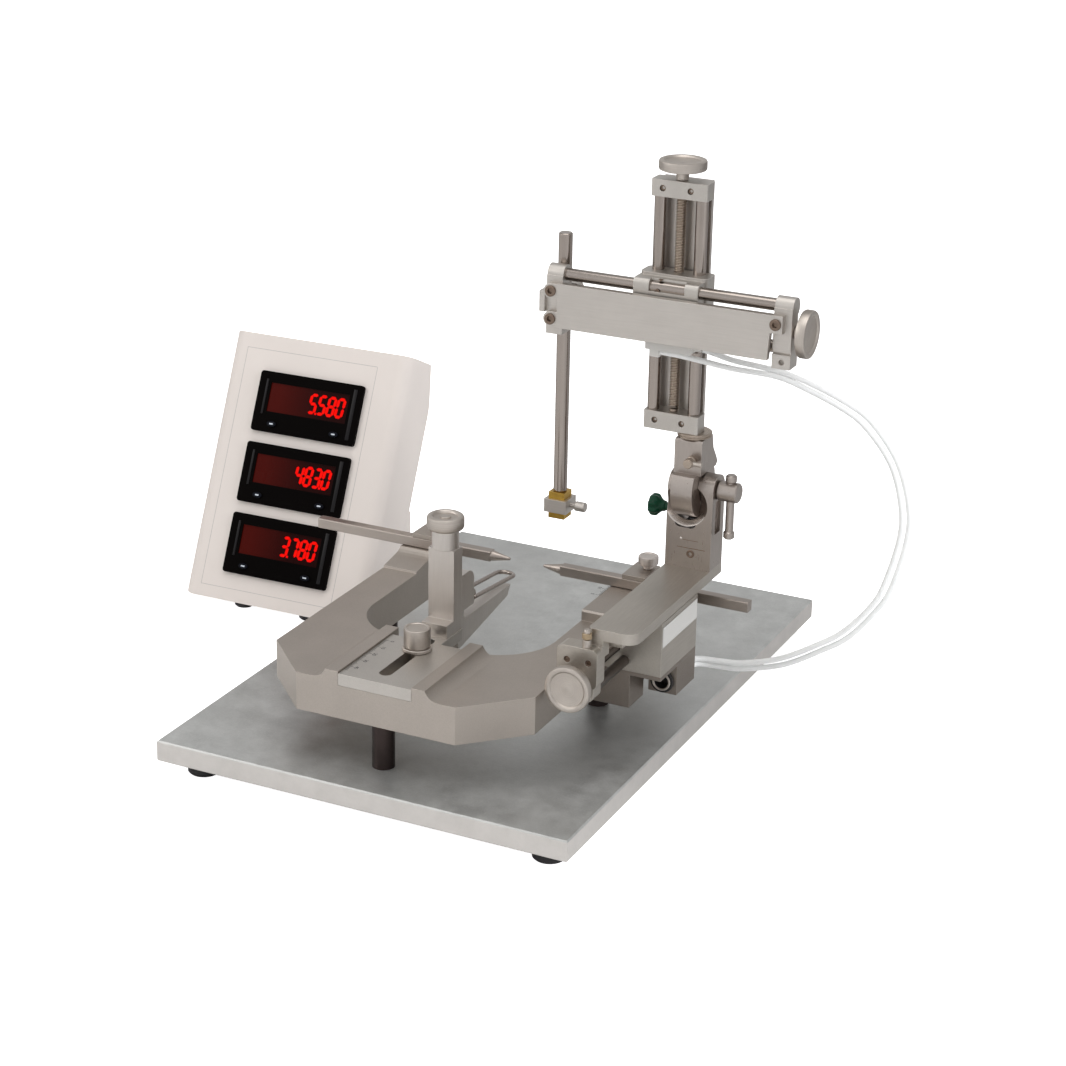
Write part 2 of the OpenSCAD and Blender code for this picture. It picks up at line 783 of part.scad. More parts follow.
module ap_knob() {
    color(nickel) translate([ap_x, ap_front_y - ap_front_t - slide_gap, ap_z]) rotate([90, 0, 0])
        dished_knob(knob_d, 5, neck_l, ap_screw_r);
}

// ---- swivel ----

module clevis_outline() {
    translate([clevis_y, pivot_z]) circle(ear_round_d / 2);
    translate([clevis_y - clevis_d / 2, ap_plate_z1]) square([clevis_d, pivot_z - ap_plate_z1]);
}

module swivel_clevis() {
    r = 3.5;
    mouth_r = 13;
    mouth_t = 6;
    slot_x0 = tongue_x - clevis_slot_w / 2;
    color(satin) difference() {
        along_x(ap_plate_x0, ap_plate_w) clevis_outline();
        along_y(clevis_y - clevis_d, 2 * clevis_d) {
            translate([slot_x0, clevis_floor]) round_rect(clevis_slot_w, clevis_d, r);
            translate([slot_x0, clevis_floor + r]) square([clevis_slot_w, pivot_z + clevis_d - clevis_floor]);
        }
        bar_x([ap_plate_x0 - 1, clevis_y, pivot_z], pin_r + run, ap_plate_w + 2);
        bar_x([ap_plate_x0 - 1, clevis_y, lock_z], 2.4 + run, 9);
        // conical mouth round the front of the slot
        translate([tongue_x, clevis_y - clevis_d / 2 - reach, pivot_z - 9]) rotate([-90, 0, 0])
            cylinder(r1 = mouth_r + reach, r2 = mouth_r - mouth_t, h = mouth_t + reach);
        // slot down the right side, for the flange of a lock
        block([ap_plate_x1 - 2.2, clevis_y - 4, ap_plate_z1 + 21],
              [ap_plate_x1 + 1, clevis_y + 4, ap_plate_z1 + 41]);
    }
}

module swivel_tongue() {
    half = tongue_t / 2;
    front = clevis_y - clevis_d / 2;
    color(nickel) difference() {
        union() {
            along_x(tongue_x - half, tongue_t) difference() {
                translate([clevis_y, pivot_z]) circle(tongue_r);
                translate([clevis_y - tongue_r - 1, head_z0 + 0.5]) square(2 * tongue_r + 2);
            }
            along_x(tongue_x - head_half, 2 * head_half) polygon([
                [front, head_z0], [clevis_y + 14, head_z0], [clevis_y + 16, head_z0 + 2],
                [clevis_y + 13.5, head_z0 + 6], [clevis_y + 9, head_z0 + 12], [clevis_y + 7, seat_z0],
                [front + 1, seat_z0], [front, seat_z0 - 1]
            ]);
            bar_z([tongue_x, clevis_y, seat_z0 - 1], spigot_r, collar_h + 0.5);
        }
        bar_x([tongue_x - half - 1, clevis_y, pivot_z], pin_r + run, tongue_t + 2);
    }
}

hub_r = 5.8;
hub_l = 12.2;
lever_r = 2.4;
lever_up = 10.3;
lever_down = 28;

module swivel_lever() {
    hub_x = ap_plate_x1 + slide_gap;
    lever_x = hub_x + 7;
    color(nickel) {
        translate([hub_x, clevis_y, pivot_z]) rotate([0, 90, 0]) turned(hub_r, hub_l, 0.8);
        bar_x([ap_plate_x0 + 1, clevis_y, pivot_z], pin_r, hub_x + 1 - ap_plate_x0 - 1);
        bar_z([lever_x, clevis_y, pivot_z - lever_down + 2], lever_r, lever_up + lever_down - 4);
        for (z = [lever_up - 4.5, -lever_down])
            translate([lever_x, clevis_y, pivot_z + z]) turned(lever_r + 0.8, 4.5, 0.8);
    }
}

module lock_knob() {
    r = 6.5;
    t = 8;
    x0 = ap_plate_x0 - 5.5 - t;
    color("#1f5a3a") {
        translate([x0, clevis_y, lock_z]) rotate([0, 90, 0]) turned(r, t, 0.9);
        bar_x([x0 + t, clevis_y, lock_z], 2.4, 5.5 + 4.4);
    }
}

module collar() {
    color(satin) difference() {
        translate([tongue_x, clevis_y, seat_z0]) turned(collar_d / 2, collar_h, 0.5);
        bar_z([tongue_x, clevis_y, seat_z0 - 1], spigot_r + run, collar_h + 2);
    }
}

// ---- vertical slide ----

function rod_places() = [for (s = [-1, 1]) [slide_x + s * rod_pitch / 2, slide_y]];

module slide_block(z0, h) {
    translate([block_x0, block_y0, z0])
        linear_extrude(h) round_rect(block_x1 - block_x0, block_y1 - block_y0, 1.2);
}

module low_end_block() {
    color(nickel) difference() {
        slide_block(low_z0, low_block_h);
        for (p = rod_places()) bar_z([p[0], p[1], low_z1 - rod_seat], rod_r, rod_seat + 1);
        bar_z([slide_x, slide_y, low_z1 - 6], 2 + run, 7);
        for (s = [-1, 1]) bar_y([slide_x - 1.2 + s * 8.2, block_y0 - 1, low_z0 + low_block_h / 2], 1.8, 2.6);
    }
}

module top_end_block() {
    color(nickel) difference() {
        slide_block(top_z0, top_block_h);
        for (p = rod_places()) bar_z([p[0], p[1], top_z0 - 1], rod_r, rod_seat + 1);
        bar_z([slide_x, slide_y, top_z0 - 1], z_screw_r + run, top_block_h + 2);
        for (s = [-1, 1]) bar_y([slide_x - 1.2 + s * 8.2, block_y0 - 1, top_z0 + top_block_h / 2], 1.8, 2.6);
    }
}

module vertical_rods() {
    color(steel) for (p = rod_places()) bar_z([p[0], p[1], low_z1 - rod_seat], rod_r, rise + 2 * rod_seat);
}

module back_plate() {
    color("#cfcac4") block([block_x0 + 3, block_y1, low_z0], [block_x1 - 1.5, block_y1 + back_t, top_z1]);
}

module vertical_screw() {
    z1 = top_z1 + slide_gap + 7;
    color(steel) {
        bar_z([slide_x, slide_y, low_z1 + slide_gap], z_screw_r, z1 - low_z1 - slide_gap);
        bar_z([slide_x, slide_y, low_z1 - 5.5], 2, 6.5);
    }
}

module vertical_knob() {
    color(nickel) translate([slide_x, slide_y, top_z1 + slide_gap]) dished_knob(knob_d, knob_t, 5.6, z_screw_r);
}

// ---- cross carriage ----

notch_left = 10.2;
notch_right = 11;
notch_h = 6.5;

module cross_carriage() {
    color(nickel) difference() {
        union() {
            translate([cross_x0, ml_y + 4.5, cross_z0])
                linear_extrude(cross_z1 - cross_z0) round_rect(cross_x1 - cross_x0, cross_y1 - ml_y - 4.5, 3);
            along_x(cross_x0, cross_x1 - cross_x0 - 1.6) {
                translate([cross_y0 + 3, cross_z0]) square([block_y0 - 3.5 - cross_y0, saddle_z1 - cross_z0]);
                translate([cross_y0, cross_z0]) square([4, saddle_z1 - 3 - cross_z0]);
                translate([cross_y0 + 3, saddle_z1 - 3]) circle(3);
            }
        }
        for (p = rod_places()) bar_z([p[0], p[1], cross_z0 - 1], rod_r + run, cross_z1 - cross_z0 + 2);
        bar_z([slide_x, slide_y, cross_z0 - 1], z_screw_r + run, cross_z1 - cross_z0 + 2);
        for (z = [ml_rod_up, -ml_rod_down])
            bar_x([cross_x0 - 1, ml_y, ml_mid + z], rod_r + run, cross_x1 - cross_x0 + 2);
        bar_x([cross_x0 - 1, ml_y, ml_mid], ml_screw_r + run, cross_x1 - cross_x0 + 2);
        block([slide_x - notch_left, cross_y0 - 1, saddle_z1 - notch_h],
              [slide_x + notch_right, ml_y, saddle_z1 + 1]);
    }
}

cable_d = 3.3;
gland_exit_1 = [slide_x - 4.5, cross_y0 + 6.8, gland_z0 - 2.3];
gland_exit_2 = [slide_x + 19, block_y0 - 3.9, gland_z0 + 3.2];

module cable_gland() {
    y0 = cross_y0 + 2;
    color("#d8d4cf") {
        block([slide_x - 12, y0, gland_z0], [slide_x + 15, block_y0 - 0.6, cross_z0]);
        block([slide_x - 10, y0 + 2, gland_z0 - 4.6], [gland_exit_1[0], y0 + 8, gland_z0]);
        bar_x([slide_x + 15, gland_exit_2[1], gland_exit_2[2]], 2.6, gland_exit_2[0] - slide_x - 15);
    }
}

// ---- cables: points chosen by hand from the gland to the sensor box, lower cable first ----
cable_1_route = [
    [92, 0.5, 209.7], [103, 0.8, 209.3], [118, 2, 207.6], [134, 4.5, 205.3], [158.5, 8, 203.5], [176.5, 11, 197.5],
    [195.5, 13, 189.5], [208.5, 15, 180.5], [223.5, 17, 161], [231, 17.5, 137.5], [231.5, 17, 118],
    [225, 14.5, 89.5], [218, 12.5, 75.5], [205, 10.5, 60], [191.5, 9, 50], [169.5, 8, 37], [147, 8, 29.5],
    [133, 8, 27.7], [122, 6.5, 27.5], [116.5, 2, 27.5], [115, -5, 27.5]
];
cable_2_route = [
    [115.5, 2.8, 215.2], [124, 3.6, 213], [134, 5, 209.8], [159.5, 9, 206.8], [178, 12, 200.7], [197.5, 14, 192.6],
    [211.5, 16, 183.3], [226.5, 18, 163], [234.8, 18.5, 138.3], [235.3, 18, 117.5], [229, 15.5, 88.5],
    [221, 13.5, 73.3], [208, 11.5, 57], [193.5, 10, 46.5], [171.5, 9, 33.3], [147.5, 9, 25.6],
    [134, 9, 23.9], [122.5, 7.5, 23.8], [117, 3, 23.8], [115.3, -5, 23.8]
];
cable_steps = 2;

// the route carried along so that it starts and ends at two given points
function laid(p, from, to) = let (n = len(p) - 1)
    [for (i = [0:n]) p[i] + (from - p[0]) * (1 - i / n) + (to - p[n]) * (i / n)];
function hermite(a, b, c, d, t) =
    0.5 * (2 * b + (c - a) * t + (2 * a - 5 * b + 4 * c - d) * t * t + (3 * b - a - 3 * c + d) * t * t * t);
function smooth(p, steps) = concat(
    [for (i = [0:len(p) - 2], k = [0:steps - 1])
        hermite(p[max(i - 1, 0)], p[i], p[i + 1], p[min(i + 2, len(p) - 1)], k / steps)],
    [p[len(p) - 1]]);
function unit(v) = v / norm(v);
function heading(p, i) = unit(p[min(i + 1, len(p) - 1)] - p[max(i - 1, 0)]);

// tube of 8 sides swept along a route
module cable(route) {
    p = smooth(route, cable_steps);
    sides = 8;
    r = cable_d / 2;
    lean = [0.5, 1, 0.5];
    rings = [for (i = [0:len(p) - 1]) let (h = heading(p, i), u = unit(cross(h, lean)), v = cross(h, u))
        for (k = [0:sides - 1]) p[i] + r * (cos(360 * k / sides) * u + sin(360 * k / sides) * v)];
    last = len(p) - 1;
    walls = [for (i = [0:last - 1], k = [0:sides - 1]) let (n = (k + 1) % sides)
        for (f = [[i * sides + k, i * sides + n, (i + 1) * sides + n],
                  [i * sides + k, (i + 1) * sides + n, (i + 1) * sides + k]]) f];
    caps = [[for (k = [sides - 1:-1:0]) k], [for (k = [0:sides - 1]) last * sides + k]];
    polyhedron(points = rings, faces = [for (f = concat(walls, caps)) [for (i = [len(f) - 1:-1:0]) f[i]]]);
}

module cable_1() {
    color("#f1f0ee") cable(laid(cable_1_route, gland_exit_1 + [0.5, 0, 0],
                                [sensor_x0 + 9.7, carriage_y1, sensor_z0 + 7.5]));
}
module cable_2() {
    color("#f1f0ee") cable(laid(cable_2_route, gland_exit_2 + [0.8, 0, 0],
                                [sensor_x0 + 10, carriage_y1, sensor_z0 + 3.8]));
}

// ---- side-to-side slide ----

lug_r = 4.3;
left_lug_x = ml_left_x1 - 5.5;
right_lug_x = ml_right_x0 + 2.5;
lug_zs = [ml_top - 4.6, ml_bottom + 4.8];

module ml_plate_outline() {
    x0 = ml_left_x1 - 1.5;
    difference() {
        union() {
            polygon([
                [x0, ml_bottom], [ml_right_x0 - 1.5, ml_bottom], [ml_right_x0 - 0.5, ml_top - 10],
                [right_lug_x + 4, ml_top - 10], [right_lug_x + 4, ml_top], [x0, ml_top]
            ]);
            for (z = lug_zs) {
                translate([left_lug_x, z]) circle(lug_r);
                translate([left_lug_x, z - lug_r]) square([x0 - left_lug_x + 0.5, 2 * lug_r]);
            }
        }
        for (z = lug_zs) translate([left_lug_x, z]) circle(1.6);
        translate([right_lug_x, ml_top - 5]) circle(1.6);
    }
}

module ml_cover_plate() {
    color(nickel) along_y(ml_plate_y0, ml_plate_t) ml_plate_outline();
}

// end block seen from the side: a lobe round each rod on a straight web
module ml_block_outline() {
    for (z = [ml_rod_up, -ml_rod_down]) translate([ml_y, ml_mid + z]) circle(rod_r + 1.9);
    translate([ml_y, ml_mid]) circle(5.6);
    translate([ml_block_y0, ml_mid - ml_rod_down]) square([ml_web, ml_rod_up + ml_rod_down]);
    translate([ml_block_y0, ml_bottom - ml_foot + 3]) square([ml_web + 2, ml_foot]);
}

module ml_block(x0, t) {
    along_x(x0, t) ml_block_outline();
}

module ml_left_block() {
    x0 = ml_left_x1 - ml_left_t;
    color(nickel) difference() {
        union() {
            ml_block(x0, ml_left_t);
            block([x0, ml_block_y0 + 1, ml_mid - ml_hub], [ml_left_x1, ml_block_y1, ml_mid + ml_hub]);
        }
        for (z = [ml_rod_up, -ml_rod_down]) bar_x([ml_left_x1 - rod_seat, ml_y, ml_mid + z], rod_r, rod_seat + 1);
        bar_x([ml_left_x1 - 6, ml_y, ml_mid], 1.8 + run, 7);
        // groove that seats the probe rod
        bar_z([probe_x, probe_y, ml_bottom - ml_foot], probe_r + run, 2 * ml_plate_h);
        for (z = lug_zs) bar_y([left_lug_x, ml_block_y0 - 1, z], 1.5, 3);
    }
}

module ml_right_block() {
    color(nickel) difference() {
        ml_block(ml_right_x0, ml_right_t);
        for (z = [ml_rod_up, -ml_rod_down]) bar_x([ml_right_x0 - 1, ml_y, ml_mid + z], rod_r, rod_seat + 1);
        bar_x([ml_right_x0 - 1, ml_y, ml_mid], ml_screw_r + run, ml_right_t + 2);
        bar_y([right_lug_x, ml_block_y0 - 1, ml_top - 5], 1.5, 5);
        bar_y([ml_right_x0 + 5.5, ml_block_y0 - 1, ml_bottom - 1.2], 1.6, 4);
    }
}

module ml_guide_rods() {
    color(steel) for (z = [ml_rod_up, -ml_rod_down])
        bar_x([ml_left_x1 - rod_seat, ml_y, ml_mid + z], rod_r, span + 2 * rod_seat);
}

module ml_lead_screw() {
    x1 = ml_right_x0 + ml_right_t + slide_gap + 5;
    color(steel) {
        bar_x([ml_left_x1 + slide_gap, ml_y, ml_mid], ml_screw_r, x1 - ml_left_x1 - slide_gap);
        bar_x([ml_left_x1 - 5.5, ml_y, ml_mid], 1.8, 6.5);
    }
}

module ml_knob() {
    color(nickel) translate([ml_right_x0 + ml_right_t + slide_gap, ml_y, ml_mid]) rotate([0, 90, 0])
        dished_knob(knob_d, knob_t, 3.8, ml_screw_r);
}

// ---- probe ----

module probe_jaw() {
    x1 = probe_x + probe_r + 2;
    wall = 3.3;
    color(nickel) difference() {
        union() {
            block([jaw_x0, ml_block_y0 - 2.5, jaw_z0], [jaw_x0 + wall, jaw_y0 + jaw_t, jaw_z0 + jaw_h]);
            block([jaw_x0, jaw_y0, jaw_z0], [x1, jaw_y0 + jaw_t, jaw_z0 + jaw_h]);
        }
        bar_y([probe_x, jaw_y0 - 1, jaw_z0 + jaw_h / 2], jaw_screw_r + run, jaw_t + 2);
        bar_z([probe_x, probe_y, jaw_z0 - 1], probe_r + run, jaw_h + 2);
    }
}

module jaw_screw() {
    color(nickel) translate([probe_x, jaw_y0 + jaw_t + slide_gap, jaw_z0 + jaw_h / 2]) rotate([-90, 0, 0])
        thumb_screw(6, 6.2, 3.2, 1.4, jaw_screw_r, jaw_t + slide_gap + 0.1);
}

module probe_rod() {
    color(satin) {
        translate([probe_x, probe_y, probe_z0]) turned(probe_r, probe_l, 0.5);
        bar_z([probe_x, probe_y, probe_z0 - probe_spigot_l], probe_spigot_r, probe_spigot_l + 1);
    }
}

module probe_holder() {
    half = holder_w / 2;
    z0 = probe_z0 - holder_h;
    color("#9a7434") difference() {
        block([probe_x - half, probe_y - half, z0], [probe_x + half, probe_y + half, probe_z0]);
        bar_z([probe_x, probe_y, probe_z0 - probe_spigot_l], probe_spigot_r, probe_spigot_l + 1);
        bar_z([probe_x, electrode_y, z0 - 1], electrode_d / 2, holder_h - probe_spigot_l - 1);
    }
}

module holder_clamp() {
    half = holder_w / 2;
    out = half + clamp_wall;
    z0 = probe_z0 - holder_h / 2 - clamp_h / 2;
    grip_x = probe_x + out + 3;
    color(nickel) {
        difference() {
            block([probe_x - out, probe_y - out, z0], [probe_x + out, probe_y + out, z0 + clamp_h]);
            block([probe_x - half, probe_y - half, z0 - 1], [probe_x + half, probe_y + half, z0 + clamp_h + 1]);
        }
        bar_x([probe_x + out, probe_y, z0 + clamp_h / 2], clamp_screw_r, 4);
        translate([grip_x, probe_y, z0 + clamp_h / 2]) rotate([0, 90, 0]) turned(2.9, 6.5, 0.5);
    }
}

// ---- console ----

module at_console() {
    translate([console_x, console_y, console_z]) rotate([0, 0, console_yaw]) children();
}

// panel frame: x across, y up the panel, z out of the panel
module on_panel(u = 0, v = 0) {
    at_console() rotate([90 - console_tilt, 0, 0]) translate([u, v, 0]) children();
}

module console_case() {
    extra = 90;
    stand_y = 32;
    inset = 0.3;
    stand_h = (console_back - console_depth / cos(console_tilt)) / tan(console_tilt) - 1;
    // bevel at the back of the top, as (up the panel, depth)
    bevel_top = [console_l, -console_depth * 2 / 3];
    bevel_end = [console_l * 0.743, -console_depth];
    over = (bevel_top - bevel_end) * 0.2;
    color("#e6e1dc") difference() {
        at_console() union() {
            rotate([90 - console_tilt, 0, 0]) translate([0, -extra, 0]) rotate([-90, 0, 0])
                linear_extrude(console_l + extra) round_rect(console_w, console_depth, console_r);
            translate([inset, stand_y, -5]) linear_extrude(stand_h + 5)
                round_rect(console_w - 2 * inset, console_back - stand_y, console_r - 3);
        }
        at_console() block([-10, -extra, -2 * extra], [console_w + 10, 2 * extra, 0]);
        on_panel() along_x(-10, console_w + 20)
            polygon([bevel_top + over, bevel_end - over, [bevel_top[0] + over[0], -2 * console_depth]]);
        for (i = [0:2]) on_panel(display_u + 3, display_v + i * display_pitch + 3)
            translate([0, 0, -bezel_sunk]) cube([bezel_w - 6, bezel_h - 6, bezel_sunk + 1]);
    }
}

function button_us() = [button_u, bezel_w - button_u];

module display_bezel() {
    difference() {
        union() {
            linear_extrude(bezel_t) round_rect(bezel_w, bezel_h, 2);
            translate([3.2, 3.2, -bezel_sunk + 1]) cube([bezel_w - 6.4, bezel_h - 6.4, bezel_sunk - 1]);
        }
        translate([(bezel_w - window_w) / 2, window_v, bezel_t - 2.2]) cube([window_w, window_h, 3]);
        for (u = button_us()) translate([u, button_v, -4]) cylinder(r = button_d / 2 + run, h = bezel_t + 5);
    }
}

module display_bezels() {
    color("#1b1718") for (i = [0:2]) on_panel(display_u, display_v + i * display_pitch) display_bezel();
}

module display_windows() {
    color("#5a0d0c") for (i = [0:2])
        on_panel(display_u + (bezel_w - window_w) / 2, display_v + i * display_pitch + window_v)
            translate([0, 0, bezel_t - 2.2]) cube([window_w, window_h, window_t]);
}

module push_button(row, side) {
    color("#8fa0b4") on_panel(display_u + button_us()[side], display_v + row * display_pitch + button_v)
        translate([0, 0, -4 + button_travel + 0.3]) turned(button_d / 2, bezel_t + 4 - 0.3, 0.4);
}
module button_1() push_button(2, 0);
module button_2() push_button(2, 1);
module button_3() push_button(1, 0);
module button_4() push_button(1, 1);
module button_5() push_button(0, 0);
module button_6() push_button(0, 1);

base_plate();
rubber_feet();
support_posts();
u_frame();
ear_straps();
nose_plate();
nose_lock_screw();
nose_tower();
tower_knob();
nose_slider();
nose_wire();
ear_bar_left();
ear_bar_right();
ear_screw_left();
ear_screw_right();
ap_carriage();
carriage_bracket();
sensor_box();
sensor_socket();
ap_cover_plate();
ap_front_block();
ap_rear_block();
ap_guide_rods();
ap_lead_screw();
ap_knob();
swivel_clevis();
swivel_tongue();
swivel_lever();
lock_knob();
collar();
low_end_block();
top_end_block();
vertical_rods();
back_plate();
vertical_screw();
vertical_knob();
cross_carriage();
cable_gland();
cable_1();
cable_2();
ml_cover_plate();
ml_left_block();
ml_right_block();
ml_guide_rods();
ml_lead_screw();
ml_knob();
probe_jaw();
jaw_screw();
probe_rod();
probe_holder();
holder_clamp();
console_case();
display_bezels();
display_windows();
button_1();
button_2();
button_3();
button_4();
button_5();
button_6();
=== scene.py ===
# %% [markdown]
# # A bench micromanipulator in machined metal
# The object is a flat steel base with a U-shaped frame on it, three screw-driven slides that
# carry a thin probe, and a white readout console. Its solids are already made, so this scene
# gives them their finishes and adds what is too fine for a solid model: knurls, screw threads,
# screw heads, rulings, digits and cables.

# %% Load the solids
import math

import bmesh
import bpy
from mathutils import Matrix, Vector
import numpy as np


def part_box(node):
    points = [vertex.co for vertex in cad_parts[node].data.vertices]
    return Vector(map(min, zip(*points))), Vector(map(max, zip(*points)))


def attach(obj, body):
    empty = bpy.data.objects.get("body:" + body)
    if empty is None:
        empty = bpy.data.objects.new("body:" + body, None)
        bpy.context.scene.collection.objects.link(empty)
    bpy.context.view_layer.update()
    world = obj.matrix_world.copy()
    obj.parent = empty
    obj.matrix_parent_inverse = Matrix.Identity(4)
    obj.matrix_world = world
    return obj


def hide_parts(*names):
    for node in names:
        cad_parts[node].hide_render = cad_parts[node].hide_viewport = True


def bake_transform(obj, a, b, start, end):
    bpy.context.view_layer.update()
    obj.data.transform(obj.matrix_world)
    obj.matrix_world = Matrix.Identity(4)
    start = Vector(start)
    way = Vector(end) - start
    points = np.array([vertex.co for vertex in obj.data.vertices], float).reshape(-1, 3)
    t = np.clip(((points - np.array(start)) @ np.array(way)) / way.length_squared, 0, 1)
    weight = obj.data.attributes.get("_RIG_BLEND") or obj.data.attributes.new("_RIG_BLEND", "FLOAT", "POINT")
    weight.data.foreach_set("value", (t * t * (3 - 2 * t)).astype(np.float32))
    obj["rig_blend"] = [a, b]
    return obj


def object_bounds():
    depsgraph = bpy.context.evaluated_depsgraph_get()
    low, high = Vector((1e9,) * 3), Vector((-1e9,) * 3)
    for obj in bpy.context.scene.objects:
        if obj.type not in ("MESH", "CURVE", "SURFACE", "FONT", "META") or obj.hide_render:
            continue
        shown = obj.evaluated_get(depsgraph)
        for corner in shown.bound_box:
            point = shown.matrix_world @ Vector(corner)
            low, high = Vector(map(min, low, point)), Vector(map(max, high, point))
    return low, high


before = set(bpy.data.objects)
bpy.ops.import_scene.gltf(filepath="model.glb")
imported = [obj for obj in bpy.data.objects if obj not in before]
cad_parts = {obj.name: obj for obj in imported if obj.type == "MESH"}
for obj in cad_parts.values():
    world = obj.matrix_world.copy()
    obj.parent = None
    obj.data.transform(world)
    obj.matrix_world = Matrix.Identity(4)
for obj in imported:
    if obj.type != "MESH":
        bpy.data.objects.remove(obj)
cad_box = [[float(x) for x in corner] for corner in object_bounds()]
scene = bpy.context.scene
scene.view_settings.view_transform = "Standard"
MM = 0.001
print("solids", len(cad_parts), "box", cad_box)

# %% [markdown]
# The camera stands in front of the right corner, a little above the object. Its place is given
# as an azimuth from the front, an elevation and a slight roll, and a long lens keeps the
# perspective gentle, as in a catalogue.

# %% Camera
azimuth, elevation, roll = (math.radians(a) for a in (25.62, 21.25, 1.05))
camera = bpy.data.objects.new("camera", bpy.data.cameras.new("camera"))
camera.data.sensor_width = 36
camera.data.lens = 84.97
camera.data.clip_end = 50
camera.matrix_world = (
    Matrix.Translation((0.60834, -1.23589, 0.62092))
    @ Matrix.Rotation(azimuth, 4, "Z")
    @ Matrix.Rotation(math.pi / 2 - elevation, 4, "X")
    @ Matrix.Rotation(roll, 4, "Z")
)
scene.collection.objects.link(camera)
scene.camera = camera


# %% [markdown]
# Every finish starts from the same few steps: a new material, its shader, and small helpers
# that add a node with its inputs filled and join two sockets. They keep each finish short enough
# to read as a recipe.

# %% Small helpers for materials
def start_material(name):
    material = bpy.data.materials.new(name)
    material.use_nodes = True
    return material, material.node_tree, material.node_tree.nodes["Principled BSDF"]


def add(tree, kind, inputs=(), **settings):
    node = tree.nodes.new("ShaderNode" + kind)
    for key, value in settings.items():
        setattr(node, key, value)
    for socket, value in dict(inputs).items():
        if isinstance(value, bpy.types.NodeSocket):
            tree.links.new(value, node.inputs[socket])
        else:
            node.inputs[socket].default_value = value
    return node


def math_node(tree, operation, first, second=0.0):
    return add(tree, "Math", {0: first, 1: second}, operation=operation).outputs[0]


def noise(tree, scale, detail=3, rough=0.55, **more):
    """Noise on object coordinates; scale is one number or one for each direction, per metre."""
    place = add(tree, "TexCoord").outputs["Object"]
    if not isinstance(scale, (int, float)):
        place = add(tree, "Mapping", {"Vector": place, "Scale": scale}).outputs[0]
        scale = 1
    inputs = {"Vector": place, "Scale": scale, "Detail": detail, "Roughness": rough}
    return add(tree, "TexNoise", inputs, **more).outputs["Fac"]


def between(tree, value, low, high, start=0.3, end=0.7):
    """A value spread from low to high."""
    inputs = {"Value": value, "From Min": start, "From Max": end, "To Min": low, "To Max": high}
    return add(tree, "MapRange", inputs).outputs[0]


def mix(tree, factor, first, second, blend="MIX"):
    node = add(tree, "Mix", data_type="RGBA", blend_type=blend)
    for index, value in ((0, factor), (6, first), (7, second)):
        if isinstance(value, bpy.types.NodeSocket):
            tree.links.new(value, node.inputs[index])
        else:
            node.inputs[index].default_value = value
    return node.outputs[2]


def shade(colour, amount):
    """The colour with its brightness multiplied."""
    return tuple(min(1, c * amount) for c in colour[:3]) + (1,)


# %% [markdown]
# Machined metal is never one flat grey. A milled face keeps faint lines along the cut and plating
# leaves soft clouds. The recipe draws stretched noise for the lines and wide noise for the clouds,
# and a bevel lookup rounds each edge, whose colour is then lifted as a painted highlight.

# %% The recipe for machined metal
def metal(name, colour, roughness, grain=1700, streak=0.03, cloud=0.04, edge=0.35, lift=1.2):
    material, tree, shader = start_material(name)
    lines = noise(tree, grain, detail=4)
    clouds = noise(tree, 38, detail=5, rough=0.6)
    bevel = add(tree, "Bevel", {"Radius": edge * MM}, samples=4).outputs[0]
    true_normal = add(tree, "NewGeometry").outputs["Normal"]
    flatness = add(tree, "VectorMath", {0: bevel, 1: true_normal}, operation="DOT_PRODUCT").outputs["Value"]
    # Where the bevel normal leaves the true normal, the colour is lifted: a painted edge highlight.
    edge_highlight = between(tree, flatness, 1, 0, 0.86, 0.99)
    tone = mix(tree, between(tree, clouds, 0, 1), shade(colour, 1 - cloud), shade(colour, 1 + cloud))
    tone = mix(tree, between(tree, lines, 0, streak * 3), tone, shade(colour, 0.55))
    tone = mix(tree, edge_highlight, tone, shade(colour, lift))
    bump = add(tree, "Bump", {"Strength": 0.15, "Distance": 0.02 * MM, "Height": lines, "Normal": bevel})
    tree.links.new(tone, shader.inputs["Base Color"])
    tree.links.new(between(tree, lines, roughness - 0.05, roughness + 0.08), shader.inputs["Roughness"])
    tree.links.new(bump.outputs[0], shader.inputs["Normal"])
    shader.inputs["Metallic"].default_value = 1
    return material


frame_nickel = metal("frame_nickel", (0.47, 0.425, 0.385), 0.48)
seat_nickel = metal("seat_nickel", (0.44, 0.395, 0.355), 0.44)
plate_nickel = metal("plate_nickel", (0.56, 0.53, 0.495), 0.42)
slide_nickel = metal("slide_nickel", (0.58, 0.545, 0.51), 0.40, grain=(60, 1400, 1400))
upright_nickel = metal("upright_nickel", (0.59, 0.55, 0.515), 0.36, grain=(1400, 1400, 60))
swivel_steel = metal("swivel_steel", (0.43, 0.385, 0.355), 0.32, grain=(1400, 1400, 120))
clevis_steel = metal("clevis_steel", (0.41, 0.365, 0.335), 0.31, grain=(1400, 1400, 120))
arm_nickel = metal("arm_nickel", (0.51, 0.475, 0.43), 0.42, grain=(900, 60, 900))
bracket_steel = metal("bracket_steel", (0.30, 0.26, 0.23), 0.42)
upright_rod = metal("upright_rod", (0.36, 0.315, 0.285), 0.15, grain=(1400, 1400, 18), streak=0.02)
cross_rod = metal("cross_rod", (0.38, 0.335, 0.305), 0.16, grain=(18, 1400, 1400), streak=0.02)
# The lowest slide's guide rods lie under its cover, so their steel is painted dark as shade.
painted_shade_rod = metal("painted_shade_rod", (0.13, 0.112, 0.10), 0.40, grain=(1400, 18, 1400), streak=0.02)
bar_steel = metal("bar_steel", (0.42, 0.37, 0.335), 0.38, grain=(40, 1400, 1400), streak=0.02)
black_steel = metal("black_steel", (0.055, 0.042, 0.040), 0.38, cloud=0.2, lift=2.2)
dark_screw = metal("dark_screw", (0.22, 0.165, 0.13), 0.35)
